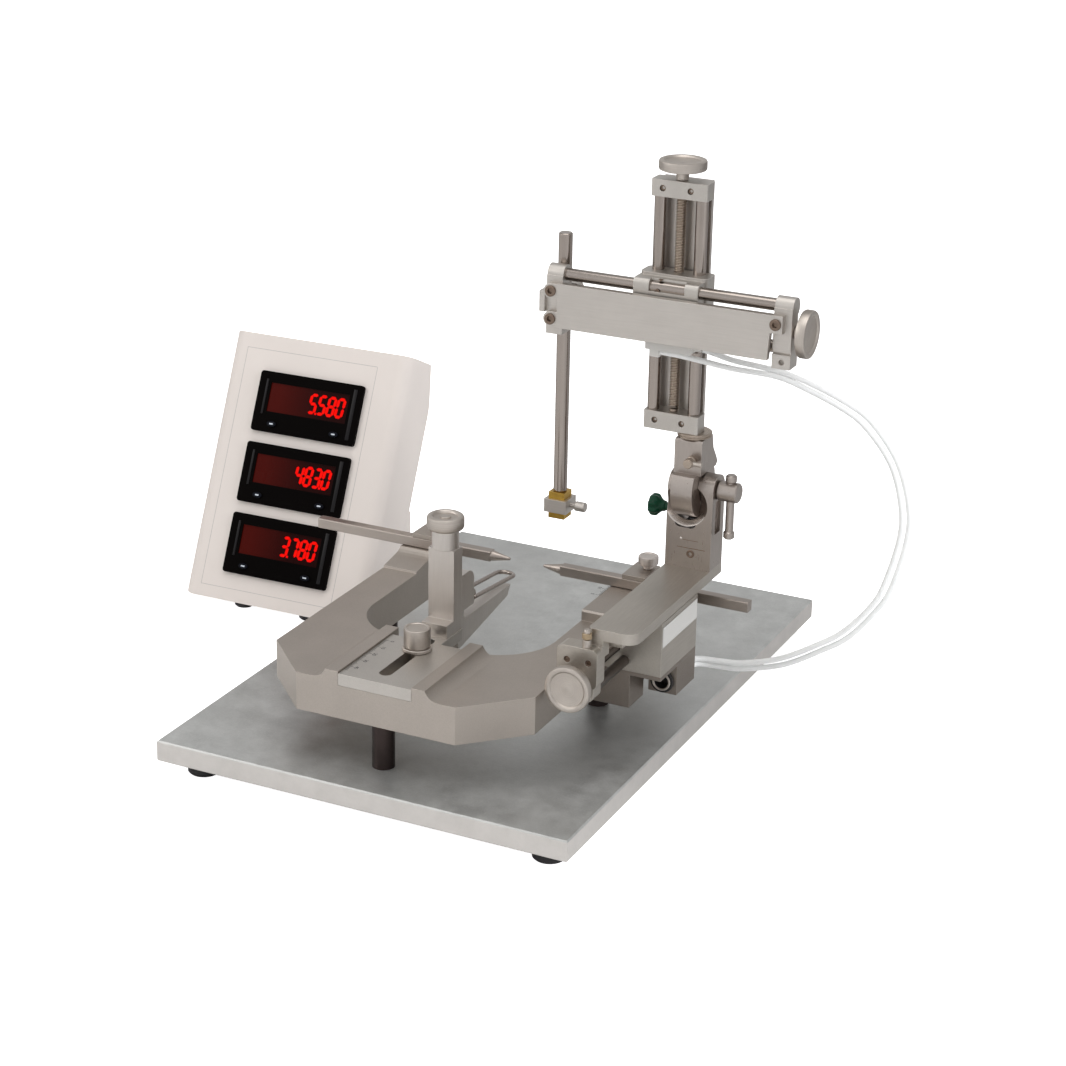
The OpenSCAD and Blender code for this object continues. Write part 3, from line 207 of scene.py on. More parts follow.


# %% [markdown]
# The bottom of the clevis's slot, where the tongue turns, is painted dark as shade. A box in object
# coordinates says where that painted shade goes.

# %% Painted shade in the clevis's slot
tree = clevis_steel.node_tree
shader = tree.nodes["Principled BSDF"]
slot_x, slot_half, slot_floor = 108.6, 4.6, 105.5
place = add(tree, "SeparateXYZ", {0: add(tree, "TexCoord").outputs["Object"]}).outputs
across = math_node(tree, "ABSOLUTE", math_node(tree, "SUBTRACT", place["X"], slot_x * MM))
inside = math_node(tree, "LESS_THAN", across, slot_half * MM)
inside = math_node(tree, "MULTIPLY", inside, between(tree, place["Y"], 0, 1, 0.009, 0.012))
inside = math_node(tree, "MULTIPLY", inside, between(tree, place["Z"], 1, 0, 0.113, 0.117))
above = math_node(tree, "GREATER_THAN", place["Z"], slot_floor * MM)
inside = math_node(tree, "MULTIPLY", inside, above)
# The painted shade colour at the slot's bottom.
tone = mix(tree, inside, shader.inputs["Base Color"].links[0].from_socket, (0.03, 0.022, 0.018, 1))
tree.links.new(tone, shader.inputs["Base Color"])


# %% [markdown]
# Knobs and screws come off a lathe, so their marks are rings round the axis. Each turned piece
# stores how far every point is from its axis in an attribute named ring, and this finish draws
# fine uneven rings from it. That way one material serves knobs that face any direction.

# %% Turned metal
def turned_metal(name, colour, roughness, depth=0.3):
    material, tree, shader = start_material(name)
    ring = add(tree, "Attribute", attribute_name="ring").outputs["Fac"]
    rings = add(tree, "TexNoise", {"W": ring, "Scale": 3.2, "Detail": 3}, noise_dimensions="1D")
    rings = rings.outputs["Fac"]
    clouds = noise(tree, 90, detail=4)
    bevel = add(tree, "Bevel", {"Radius": 0.2 * MM}, samples=4).outputs[0]
    tone = mix(tree, between(tree, clouds, 0, 1), shade(colour, 0.93), shade(colour, 1.07))
    tone = mix(tree, between(tree, rings, 0, 0.3), tone, shade(colour, 0.7))
    bump = add(tree, "Bump", {"Strength": depth, "Distance": 0.05 * MM, "Height": rings, "Normal": bevel})
    tree.links.new(tone, shader.inputs["Base Color"])
    tree.links.new(between(tree, rings, roughness - 0.05, roughness + 0.1), shader.inputs["Roughness"])
    tree.links.new(bump.outputs[0], shader.inputs["Normal"])
    shader.inputs["Metallic"].default_value = 1
    return material


turned_nickel = turned_metal("turned_nickel", (0.56, 0.51, 0.465), 0.42)
turned_pale = turned_metal("turned_pale", (0.72, 0.66, 0.62), 0.42)
# lip_steel is a pale steel for the clevis mouth's painted highlight and for its dot.
lip_steel = turned_metal("lip_steel", (0.80, 0.755, 0.72), 0.26, depth=0.1)
# A near-black turned finish, painted shade for the lead screw under the lowest slide's cover.
turned_painted_shade = turned_metal("turned_painted_shade", (0.12, 0.10, 0.085), 0.40)
turned_bronze = turned_metal("turned_bronze", (0.43, 0.36, 0.30), 0.30)
turned_brass = turned_metal("turned_brass", (0.46, 0.36, 0.24), 0.38)


# %% [markdown]
# The base plate is raw hot-galvanised looking steel: patches of slightly different grey a few
# millimetres wide, a finer speckle inside them, and cut edges that are brighter than the faces.

# %% Mottled base plate steel
def mottled_steel():
    material, tree, shader = start_material("mottled_steel")
    patches = noise(tree, 55, detail=8, rough=0.72)
    specks = noise(tree, 900, detail=2)
    smears = noise(tree, (14, 5, 14), detail=3)
    true_normal = add(tree, "NewGeometry").outputs["Normal"]
    upright = add(tree, "SeparateXYZ", {0: true_normal}).outputs["Z"]
    dull, bright = (0.47, 0.475, 0.465, 1), (0.61, 0.615, 0.605, 1)
    tone = mix(tree, between(tree, patches, 0, 1, 0.36, 0.66), dull, bright)
    tone = mix(tree, between(tree, specks, 0, 0.35, 0.5, 0.75), tone, (0.70, 0.70, 0.69, 1))
    tone = mix(tree, between(tree, smears, 0, 0.5, 0.45, 0.75), tone, (0.45, 0.45, 0.44, 1))
    edge_tone = mix(tree, between(tree, patches, 0, 1), (0.60, 0.575, 0.55, 1), (0.71, 0.68, 0.655, 1))
    tone = mix(tree, between(tree, upright, 1, 0, 0.2, 0.6), tone, edge_tone)
    rough = between(tree, patches, 0.36, 0.55)
    bump = add(tree, "Bump", {"Strength": 0.2, "Distance": 0.08 * MM, "Height": specks})
    tree.links.new(tone, shader.inputs["Base Color"])
    tree.links.new(rough, shader.inputs["Roughness"])
    tree.links.new(bump.outputs[0], shader.inputs["Normal"])
    shader.inputs["Metallic"].default_value = 0.75
    return material


base_steel = mottled_steel()


# %% [markdown]
# The rest are moulded, painted or rubber surfaces. They share one recipe: a base colour with a
# faint cloud in it, a roughness that wanders a little, and a fine texture raised by a bump, from
# the orange peel of paint to the grain of rubber.

# %% Paint, plastic and rubber
def coating(name, colour, roughness, grain_scale, grain_depth, cloud=0.04, **sockets):
    material, tree, shader = start_material(name)
    clouds = noise(tree, 30, detail=4)
    grain = noise(tree, grain_scale, detail=3)
    tone = mix(tree, between(tree, clouds, 0, 1), shade(colour, 1 - cloud), shade(colour, 1 + cloud))
    bump = add(tree, "Bump", {"Strength": 0.35, "Distance": grain_depth * MM, "Height": grain})
    tree.links.new(tone, shader.inputs["Base Color"])
    tree.links.new(between(tree, grain, roughness - 0.05, roughness + 0.06), shader.inputs["Roughness"])
    tree.links.new(bump.outputs[0], shader.inputs["Normal"])
    for socket, value in sockets.items():
        shader.inputs[socket.replace("_", " ")].default_value = value
    return material


case_paint = coating("case_paint", (0.79, 0.725, 0.685), 0.45, 1500, 0.05, cloud=0.015)
bezel_plastic = coating(
    "bezel_plastic", (0.002, 0.0014, 0.0013), 0.5, 2500, 0.02, cloud=0.2, Specular_IOR_Level=0.02
)
ridge_highlight_plastic = coating("ridge_highlight_plastic", (0.012, 0.011, 0.012), 0.35, 2500, 0.02, Specular_IOR_Level=0.12)
rubber = coating("rubber", (0.022, 0.020, 0.022), 0.62, 2200, 0.10, cloud=0.2)
cable_sheath = coating("cable_sheath", (0.93, 0.935, 0.93), 0.36, 2500, 0.02, cloud=0.02)
gland_plastic = coating("gland_plastic", (0.70, 0.68, 0.65), 0.45, 1800, 0.03)
green_plastic = coating(
    "green_plastic", (0.001, 0.048, 0.022), 0.3, 2500, 0.02, cloud=0.15, Specular_IOR_Level=0.25
)
button_plastic = coating("button_plastic", (0.004, 0.005, 0.009), 0.3, 2500, 0.01, Specular_IOR_Level=0.06)
# The pale dash on each button is a painted glint.
button_glint = coating("button_glint", (0.62, 0.68, 0.76), 0.4, 2500, 0.01)
socket_plastic = coating("socket_plastic", (0.02, 0.018, 0.018), 0.35, 2500, 0.02, cloud=0.2)
label_foil = coating("label_foil", (0.50, 0.49, 0.47), 0.35, 3000, 0.01, cloud=0.02)
black_ink = coating("black_ink", (0.03, 0.028, 0.028), 0.5, 3000, 0.01, cloud=0.1)

# %% Worn brass
# Patchy brass; its brighter edges are the recipe's painted highlight.
worn_brass = metal("worn_brass", (0.52, 0.33, 0.07), 0.34, cloud=0.35, edge=0.3, lift=1.5)


# %% [markdown]
# A lit display is a dark red window with brighter red digits in it. The window is nearly black,
# with a faint red reflection painted in as a glow that is strongest at its left end, and the digits
# give off light.

# %% Display window and glowing digits
def window_glass():
    material, tree, shader = start_material("window_glass")
    place = add(tree, "SeparateXYZ", {0: add(tree, "TexCoord").outputs["Object"]}).outputs["X"]
    haze = noise(tree, 60, detail=2)
    # A painted red reflection that glows, stronger towards the window's left end.
    across = between(tree, place, 0, 1, -0.215, -0.185)
    tone = mix(tree, across, (0.040, 0.002, 0.001, 1), (0.009, 0.0005, 0.0004, 1))
    tree.links.new(tone, shader.inputs["Base Color"])
    tree.links.new(between(tree, haze, 0.25, 0.35), shader.inputs["Roughness"])
    tree.links.new(tone, shader.inputs["Emission Color"])
    shader.inputs["Emission Strength"].default_value = 0.5
    shader.inputs["Specular IOR Level"].default_value = 0.04
    return material


def digit_glow():
    material, tree, shader = start_material("digit_glow")
    flicker = noise(tree, 400, detail=2)
    tone = mix(tree, between(tree, flicker, 0, 1), (0.92, 0.001, 0.0, 1), (1.0, 0.006, 0.002, 1))
    shader.inputs["Base Color"].default_value = (0.02, 0, 0, 1)
    shader.inputs["Specular IOR Level"].default_value = 0.04
    tree.links.new(tone, shader.inputs["Emission Color"])
    shader.inputs["Emission Strength"].default_value = 1.0
    return material


red_window = window_glass()
red_digit = digit_glow()

# %% [markdown]
# Most solids keep their shape and only take a finish. The table below pairs each finish with
# its pieces; the direction of the milling lines decides which nickel a piece gets.

# %% Dress the solids
finishes = {
    base_steel: ["base_plate"],
    rubber: ["rubber_feet"],
    black_steel: ["support_posts"],
    frame_nickel: ["u_frame"],
    seat_nickel: ["ear_straps"],
    plate_nickel: ["nose_plate", "low_end_block", "top_end_block", "cross_carriage"],
    slide_nickel: ["ml_cover_plate", "ml_left_block", "ml_right_block", "probe_jaw", "holder_clamp"],
    upright_nickel: ["nose_tower", "nose_slider", "back_plate"],
    swivel_steel: ["swivel_tongue", "swivel_lever"],
    clevis_steel: ["swivel_clevis"],
    arm_nickel: ["ap_carriage", "ap_cover_plate", "ap_front_block", "ap_rear_block"],
    bracket_steel: ["carriage_bracket", "sensor_box", "collar"],
    upright_rod: ["vertical_rods", "probe_rod", "nose_wire"],
    cross_rod: ["ml_guide_rods"],
    painted_shade_rod: ["ap_guide_rods"],
    bar_steel: ["ear_bar_left", "ear_bar_right"],
    worn_brass: ["probe_holder"],
    case_paint: ["console_case"],
    bezel_plastic: ["display_bezels"],
    red_window: ["display_windows"],
    gland_plastic: ["cable_gland"],
    socket_plastic: ["sensor_socket"],
    green_plastic: ["lock_knob"],
    button_plastic: [f"button_{i}" for i in range(1, 7)],
}
for finish, names in finishes.items():
    for name in names:
        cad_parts[name].data.materials.clear()
        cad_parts[name].data.materials.append(finish)
print("dressed", sum(len(names) for names in finishes.values()))


# %% [markdown]
# New pieces are built in millimetres round the Z axis and then stood in place. These helpers
# turn a shape to its direction, close it, give it a finish and fasten it to the body that
# carries it.

# %% Helpers for pieces
def corner(node, which):
    """The low (0) or high (1) corner of a solid, in mm."""
    return Vector(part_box(node)[which]) / MM


def middle(node):
    return (corner(node, 0) + corner(node, 1)) / 2


def stand(at, along=(0, 0, 1)):
    """Carries a shape built along +Z in mm to a point in mm, pointing along a direction."""
    turn = Vector((0, 0, 1)).rotation_difference(Vector(along))
    return Matrix.Translation(Vector(at) * MM) @ turn.to_matrix().to_4x4() @ Matrix.Scale(MM, 4)


def make_piece(name, shape, finish, body, place, sharp=32):
    bmesh.ops.remove_doubles(shape, verts=shape.verts, dist=0.002)
    bmesh.ops.recalc_face_normals(shape, faces=shape.faces)
    shape.transform(place)
    mesh = bpy.data.meshes.new(name)
    shape.to_mesh(mesh)
    shape.free()
    mesh.materials.append(finish)
    mesh.shade_smooth()
    mesh.set_sharp_from_angle(angle=math.radians(sharp))
    piece = bpy.data.objects.new(name, mesh)
    scene.collection.objects.link(piece)
    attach(piece, body)
    return piece


def add_box(shape, at, size):
    """Adds a box round a point."""
    place = Matrix.Translation(at) @ Matrix.Diagonal((*size, 1))
    bmesh.ops.create_cube(shape, size=1, matrix=place)


def soften(shape, offset):
    """Rounds every edge of a shape a little."""
    edges = shape.edges[:]
    bmesh.ops.bevel(
        shape, geom=edges, offset=offset, segments=2, profile=0.5, affect="EDGES", material=-1
    )


def lathe(outline, steps=48, shape=None):
    """Turns (radius, height) points round Z and notes each point's ring."""
    shape = shape or bmesh.new()
    ring = shape.verts.layers.float.get("ring") or shape.verts.layers.float.new("ring")
    line = [shape.verts.new((r, 0, z)) for r, z in outline]
    edges = [shape.edges.new(pair) for pair in zip(line, line[1:])]
    for vert, (r, z) in zip(line, outline):
        vert[ring] = r + z
    bmesh.ops.spin(
        shape, geom=line + edges, cent=(0, 0, 0), axis=(0, 0, 1), angle=2 * math.pi, steps=steps,
        use_merge=True,
    )
    return shape


# %% [markdown]
# Two white cables leave the crossing carriage, hang in a wide bow to the right and go into the
# box under the first slide. Each is drawn in five lengths. The first hangs from the carriage;
# every other bends between two neighbouring bodies, so the cable stays joined whatever moves.

# %% The cables' routes, from the gland to the sensor box
cable_d = 3.3
cable_routes = {
    "cable_1": [
        (91.9, 0.5, 209.7), (103, 0.8, 209.3), (118, 2, 207.6), (134, 4.5, 205.3), (158.5, 8, 203.5),
        (176.5, 11, 197.5), (195.5, 13, 189.5), (208.5, 15, 180.5), (223.5, 17, 161), (231, 17.5, 137.5),
        (231.5, 17, 118), (225, 14.5, 89.5), (218, 12.5, 75.5), (205, 10.5, 60), (191.5, 9, 50),
        (169.5, 8, 37), (147, 8, 29.5), (133, 8, 27.7), (122, 6.5, 27.5), (116.5, 2, 27.5), (115, -5, 27.5),
    ],
    "cable_2": [
        (115.4, 4.2, 213.6), (118.5, 5.7, 212.5), (124, 6.8, 211), (134, 7.8, 208.8),
        (159.5, 9.4, 206.2), (178, 12, 200.7),
        (197.5, 14, 192.6), (211.5, 16, 183.3), (226.5, 18, 163), (234.8, 18.5, 138.3), (235.3, 18, 117.5),
        (229, 15.5, 88.5), (221, 13.5, 73.3), (208, 11.5, 57), (193.5, 10, 46.5), (171.5, 9, 33.3),
        (147.5, 9, 25.6), (134, 9, 23.9), (122.5, 7.5, 23.8), (117, 3, 23.8), (115.3, -5, 23.8),
    ],
}
cable_bodies = ["cross_head", "cross_head", "column", "tilt_head", "ap_slide", "frame"]
cable_cuts = (0, 0.27, 0.4, 0.58, 0.84, 1)
cable_samples = 8


def smooth_route(points, steps):
    """Catmull-Rom curve through the points."""
    points = [Vector(p) for p in points]
    ends = [points[0]] + points + [points[-1]]
    route = []
    for a, b, c, d in zip(ends, ends[1:], ends[2:], ends[3:]):
        slope, bend, twist = c - a, 2 * a - 5 * b + 4 * c - d, 3 * b - a - 3 * c + d
        for k in range(steps):
            t = k / steps
            route.append(0.5 * (2 * b + slope * t + bend * t**2 + twist * t**3))
    return route + [points[-1]]


def tube(name, route, diameter):
    """A mesh tube of round section along a route in mm."""
    curve = bpy.data.curves.new(name, "CURVE")
    curve.dimensions = "3D"
    curve.bevel_depth = diameter / 2 * MM
    curve.bevel_resolution = 4
    curve.use_fill_caps = True
    spline = curve.splines.new("POLY")
    spline.points.add(len(route) - 1)
    for point, place in zip(spline.points, route):
        point.co = (*(place * MM), 1)
    draft = bpy.data.objects.new(name + "_curve", curve)
    mesh = bpy.data.meshes.new_from_object(draft)
    bpy.data.objects.remove(draft)
    bpy.data.curves.remove(curve)
    mesh.name = name
    mesh.materials.clear()
    mesh.materials.append(cable_sheath)
    mesh.shade_smooth()
    piece = bpy.data.objects.new(name, mesh)
    scene.collection.objects.link(piece)
    return piece


def cut_route(route, cuts):
    """Splits a route at shares of its length; neighbours share a point."""
    run = [0]
    for a, b in zip(route, route[1:]):
        run.append(run[-1] + (b - a).length)
    marks = [min(range(len(run)), key=lambda i: abs(run[i] - cut * run[-1])) for cut in cuts]
    return [route[i : j + 1] for i, j in zip(marks, marks[1:])]


for cable, points in cable_routes.items():
    route = smooth_route(points, cable_samples)
    for k, part in enumerate(cut_route(route, cable_cuts)):
        piece = tube(f"{cable}_length_{k + 1}", part, cable_d)
        if k == 0:
            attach(piece, cable_bodies[0])
        else:
            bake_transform(piece, cable_bodies[k], cable_bodies[k + 1], start=part[0] * MM, end=part[-1] * MM)
        if k == 0:
            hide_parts(cable)


# %% [markdown]
# The slide knobs are discs with a dished face, a polished rim and a fine straight knurl. The
# outline is turned on the lathe with two steps for each tooth, and then every other step of the
# rim is pushed in a little: that is the whole knurl.

# %% Knurled slide knobs
def knurl(shape, radius, depth, teeth):
    for vert in shape.verts:
        if math.hypot(vert.co.x, vert.co.y) > radius - 0.05:
            if round(math.atan2(vert.co.y, vert.co.x) * teeth / math.pi) % 2:
                vert.co.xy *= 1 - depth / radius


def slide_knob(node, along, thickness, body):
    along = Vector(along)
    low, high = corner(node, 0), corner(node, 1)
    length = abs((high - low).dot(along))
    radius = max(high - low) / 2
    neck = length - thickness
    top = length
    shape = lathe(
        [
            (0, 0), (3.2, 0), (3.5, 0.3), (3.5, neck - 1.4), (4.1, neck - 0.5), (5.2, neck),
            (radius - 1.2, neck),
            (radius - 0.35, neck + 0.35), (radius, neck + 1), (radius, top - 1), (radius - 0.35, top - 0.3),
            (radius - 1.1, top), (radius - 2.4, top), (radius - 3, top - 0.3), (radius - 3.5, top - 1.1),
            (radius * 0.5, top - 1.45), (1.2, top - 1.6), (0, top - 1.3),
        ],
        steps=2 * knob_teeth,
    )
    knurl(shape, radius, knurl_depth, knob_teeth)
    start = (low + high) / 2 - along * length / 2
    place = stand(start, along)
    piece = make_piece(node + "_knurled", shape, turned_nickel, body, place, 40)
    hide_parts(node)
    print(node, "radius", round(radius, 2), "length", round(length, 2))


knob_teeth = 84
knurl_depth = 0.28
slide_knob("ap_knob", (0, -1, 0), 5, "ap_drive")
slide_knob("vertical_knob", (0, 0, 1), 5.7, "vertical_drive")
slide_knob("ml_knob", (1, 0, 0), 5.7, "ml_drive")


# %% [markdown]
# The smaller thumb screws have the same knurl on a taller head, over a thin flange. One function
# makes all of them from the sizes of the solid they stand for, and a shank goes down the middle.

# %% Thumb screws
def thumb_screw(node, along, shank_r, shank_l, flange, head, body, teeth=44, finish=turned_nickel):
    """flange and head are (radius, height); the shank points against along."""
    along = Vector(along)
    low, high = corner(node, 0), corner(node, 1)
    (flange_r, flange_h), (head_r, head_h) = flange, head
    base = (low + high) / 2 - along * (abs((high - low).dot(along)) / 2 - shank_l)
    top = flange_h + head_h
    shape = lathe(
        [
            (0, -shank_l), (shank_r - 0.4, -shank_l), (shank_r, 0.4 - shank_l), (shank_r, 0),
            (flange_r - 0.3, 0), (flange_r, 0.3), (flange_r, flange_h - 0.3), (flange_r - 0.3, flange_h),
            (head_r - 0.9, flange_h), (head_r - 0.2, flange_h + 0.5), (head_r, flange_h + 1),
            (head_r, top - 1), (head_r - 0.25, top - 0.4), (head_r - 1, top), (head_r - 1.7, top - 0.1),
            (head_r - 2.1, top - 0.5), (0, top - 0.65),
        ],
        steps=2 * teeth,
    )
    knurl(shape, head_r, 0.22, teeth)
    place = stand(base, along)
    piece = make_piece(node + "_knurled", shape, finish, body, place, 40)
    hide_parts(node)


thumb_screw("nose_lock_screw", (0, 0, 1), 3, 18.95, (8.4, 2), (7.5, 11.5), "nose_lock", 52)
for side in ("left", "right"):
    node, body = f"ear_screw_{side}", f"{side}_ear_screw"
    thumb_screw(node, (0, 0, 1), 2.5, 17.48, (3.2, 2.4), (6, 5.6), body, finish=turned_pale)
thumb_screw("jaw_screw", (0, 1, 0), 1.5, 3.4, (3.2, 1.4), (6, 6.2), "probe_screw")

# %% [markdown]
# The tower's knob is one piece with the screw that lifts the nose slider. Its top is a dish with
# a raised boss in the middle.

# %% Tower knob
knob_low, knob_high = corner("tower_knob", 0), corner("tower_knob", 1)
tower_r = (knob_high.x - knob_low.x) / 2
tower_top = knob_high.z - knob_low.z
tower_base = tower_top - 8.2
shape = lathe(
    [
        (0, 0), (2, 0), (2.4, 0.4), (2.4, tower_base), (tower_r - 2.2, tower_base),
        (tower_r - 0.6, tower_base + 0.8),
        (tower_r, tower_base + 1.8), (tower_r, tower_top - 1.6), (tower_r - 0.5, tower_top - 0.5),
        (tower_r - 1.4, tower_top), (tower_r - 2.8, tower_top), (tower_r - 3.3, tower_top - 0.4),
        (tower_r - 3.9, tower_top - 1.3), (3.1, tower_top - 1.6), (2.9, tower_top - 0.9),
        (2.4, tower_top - 0.6),
        (0, tower_top - 0.6),
    ],
    steps=120,
)
knurl(shape, tower_r, 0.22, 60)
base = Vector((middle("tower_knob").x, middle("tower_knob").y, knob_low.z))
place = stand(base)
piece = make_piece("tower_knob_knurled", shape, turned_nickel, "tower_drive", place, 40)
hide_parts("tower_knob")
print("tower knob radius", round(tower_r, 2), "height", round(tower_top, 2))


# %% [markdown]
# Each slide's lead screw carries a two-start thread. A thread is a small outline swept round the
# axis while it climbs, which is what spin does when each step also moves the points along the
# axis. Two crests in one lead make it a two-start thread, and plain journals close its ends.

# %% Threaded lead screws
def lead_screw(node, along, crest_r, journal_r, journal_l, finish, body):
    along = Vector(along)
    low, high = corner(node, 0), corner(node, 1)
    length = abs((high - low).dot(along))
    turns = int((length - journal_l - 9) / screw_lead)
    steps = 20
    core_r = crest_r - 0.55
    thread_start, thread_end = journal_l + 1, journal_l + 1 + turns * screw_lead
    shape = lathe(
        [
            (0, 0), (journal_r, 0), (journal_r, journal_l), (core_r + 0.1, journal_l + 0.2),
            (core_r + 0.1, journal_l + 1.5), (0, journal_l + 1.5),
        ],
        steps=24,
    )
    lathe(
        [
            (0, thread_end - 1), (core_r + 0.1, thread_end - 1), (crest_r, thread_end + 1.6),
            (crest_r, length), (0, length),
        ],
        steps=24, shape=shape,
    )
    pitch = screw_lead / 2
    wave = [(core_r, 0), (crest_r, 0.3), (crest_r, 0.55), (core_r, 0.85)]
    outline = [(r, thread_start + pitch * (start + z)) for start in (0, 1) for r, z in wave]
    outline.append((core_r, thread_start + screw_lead))
    ring = shape.verts.layers.float["ring"]
    line = [shape.verts.new((r, 0, z)) for r, z in outline]
    edges = [shape.edges.new(pair) for pair in zip(line, line[1:])]
    for vert, (r, z) in zip(line, outline):
        vert[ring] = r
    bmesh.ops.spin(
        shape, geom=line + edges, cent=(0, 0, 0), axis=(0, 0, 1), angle=2 * math.pi * (turns - 1),
        steps=steps * (turns - 1), dvec=(0, 0, screw_lead / steps),
    )
    bmesh.ops.remove_doubles(shape, verts=shape.verts, dist=0.002)
    bmesh.ops.holes_fill(shape, edges=[e for e in shape.edges if e.is_boundary], sides=0)
    start = (low + high) / 2 - along * length / 2
    piece = make_piece(node + "_threaded", shape, finish, body, stand(start, along), 20)
    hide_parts(node)
    print(node, "turns", turns)


screw_lead = 3
lead_screw("vertical_screw", (0, 0, 1), 2.85, 2, 5.65, turned_bronze, "vertical_drive")
lead_screw("ml_lead_screw", (1, 0, 0), 2.4, 1.8, 5.65, turned_bronze, "ml_drive")
# The lowest slide's lead screw is painted dark as shade.
lead_screw("ap_lead_screw", (0, -1, 0), 2.4, 1.8, 5.15, turned_painted_shade, "ap_drive")

# %% [markdown]
# Socket-head screws hold the slides together. Each is a short turned head; the points round its
# key hole are moved onto a hexagon afterwards. The screws set into holes are the same, only
# smaller and sunk.

# %% Socket screws
def socket_screw(name, at, along, radius, height, body, finish=dark_screw):
    key = radius * 0.52
    shape = lathe(
        [
            (0, -0.3), (radius, -0.3), (radius, height - 0.25), (radius - 0.25, height),
            (key + 0.1, height), (key, height - 0.1), (key, height - radius * 0.7),
            (0, height - radius * 0.8),
        ],
        steps=24,
    )
    for vert in shape.verts:
        if abs(math.hypot(vert.co.x, vert.co.y) - key) < 0.06:
            turn = math.atan2(vert.co.y, vert.co.x) % (math.pi / 3) - math.pi / 6
            vert.co.xy *= math.cos(math.pi / 6) / math.cos(turn)
    return make_piece(name, shape, finish, body, stand(at, along))


front, up = (0, -1, 0), (0, 0, 1)
screw_axis_x, set_screw_spread = 95.2, 8.2
plate_low, plate_high = corner("ml_cover_plate", 0), corner("ml_cover_plate", 1)
lug_left, lug_right = 29.4, 162.9
lugs = ((lug_left, plate_high.z - 4.6), (lug_left, plate_low.z + 4.8), (lug_right, plate_high.z - 5))
for k, (x, z) in enumerate(lugs):
    socket_screw(f"cover_screw_{k + 1}", (x, plate_low.y, z), front, 3.2, 1.1, "ml_slide")
block_face, block_screw_z = corner("ap_front_block", 0).y, 64.5
for k, x in enumerate((88.2, 100.8)):
    at = (x, block_face + 0.4, block_screw_z)
    socket_screw(f"block_screw_{k + 1}", at, front, 2.7, 0.2, "ap_slide")
for block_name in ("low_end_block", "top_end_block"):
    height, face = middle(block_name).z, corner(block_name, 0).y
    for side in (-1, 1):
        at = (screw_axis_x + side * set_screw_spread, face + 1.4, height)
        socket_screw(f"{block_name}_set_{side + 2}", at, front, 1.7, 0.3, "column")
saddle_face = corner("cross_carriage", 0).y
socket_screw("saddle_set_front", (91, saddle_face + 0.2, 245.6), front, 1.6, 0, "cross_head")
socket_screw("saddle_set_top", (91.8, -2.6, 252.1), up, 1.4, 0, "cross_head")
socket_screw("clevis_set", (112.5, 6, 91), front, 2.4, 0.5, "ap_slide")
print("socket screws", 12)

# %% [markdown]
# The swivel's head is held by a small T-handled screw. A stop with a brass collar stands on the
# front block of the lowest slide.

# %% Swivel screw and stop
head_screw_r, handle_r, head_screw_z = 2.9, 1.4, 147.5
shape = lathe(
    [
        (0, -0.3), (head_screw_r, -0.3), (head_screw_r, 2.6), (2.2, 3.0), (2.2, 3.6), (head_screw_r, 4.0),
        (head_screw_r, 7.4), (head_screw_r - 0.5, 8), (0, 8),
    ]
)
knurl(shape, head_screw_r, 0.15, 24)
place = stand((111.5, 6, head_screw_z), front)
make_piece("head_screw", shape, turned_bronze, "tilt_head", place)
shape = lathe(
    [(0, 0), (handle_r - 0.3, 0), (handle_r, 0.3), (handle_r, 8.6), (handle_r - 0.3, 9), (0, 9)], steps=24
)
place = stand((110.5, 0.6, head_screw_z), (1, 0, 0))
make_piece("head_screw_handle", shape, turned_nickel, "tilt_head", place)

stop_foot = (98.4, -102.9, corner("ap_front_block", 1).z - 3.3)
stop_collar_r = 2.7
shape = lathe([(0, 0), (2.5, 0), (2.5, 4.6), (1.9, 4.9), (1.9, 9.8), (1.5, 10.4), (0, 10.4)], steps=32)
make_piece("stop_pin", shape, turned_nickel, "ap_slide", stand(stop_foot))
shape = lathe(
    [(1.7, 5), (2.4, 5), (stop_collar_r, 5.3), (stop_collar_r, 8), (2.4, 8.3), (1.7, 8.3), (1.7, 5)],
    steps=72,
)
knurl(shape, stop_collar_r, 0.12, 36)
make_piece("stop_collar", shape, turned_brass, "ap_slide", stand(stop_foot))
print("stop at", [round(x, 1) for x in stop_foot])

# %% [markdown]
# The clevis has a bright crescent round the mouth of its slot, painted in as a highlight, and a dark
# plate closes the slot at the back as painted shade. Two scribed lines and a dot stand low on its front.

# %% Crescent round the mouth, a painted highlight
clevis_front = corner("swivel_clevis", 0).y
mouth = (slot_x, clevis_front, 120.15)
lip_start, lip_sweep = math.radians(208), math.radians(128)
shape = bmesh.new()
ring = shape.verts.layers.float.new("ring")
profile = [(12.95, -0.4), (12.85, 0), (12.6, -0.02), (9.9, -2.75), (9.8, -3.4)]
line = [shape.verts.new((r, 0, z)) for r, z in profile]
face = shape.faces.new(line)
for vert, (r, z) in zip(line, profile):
    vert[ring] = r + z
bmesh.ops.spin(
    shape, geom=[face], cent=(0, 0, 0), axis=(0, 0, 1), angle=lip_sweep, steps=40, use_duplicate=False
)
shape.transform(Matrix.Rotation(lip_start, 4, "Z"))
face_front = Matrix.Rotation(math.pi / 2, 4, "X")
place = Matrix.Translation(Vector(mouth) * MM) @ face_front @ Matrix.Scale(MM, 4)
make_piece("clevis_lip_highlight", shape, lip_steel, "ap_slide", place, 40)
print("crescent of", round(math.degrees(lip_sweep)), "degrees")

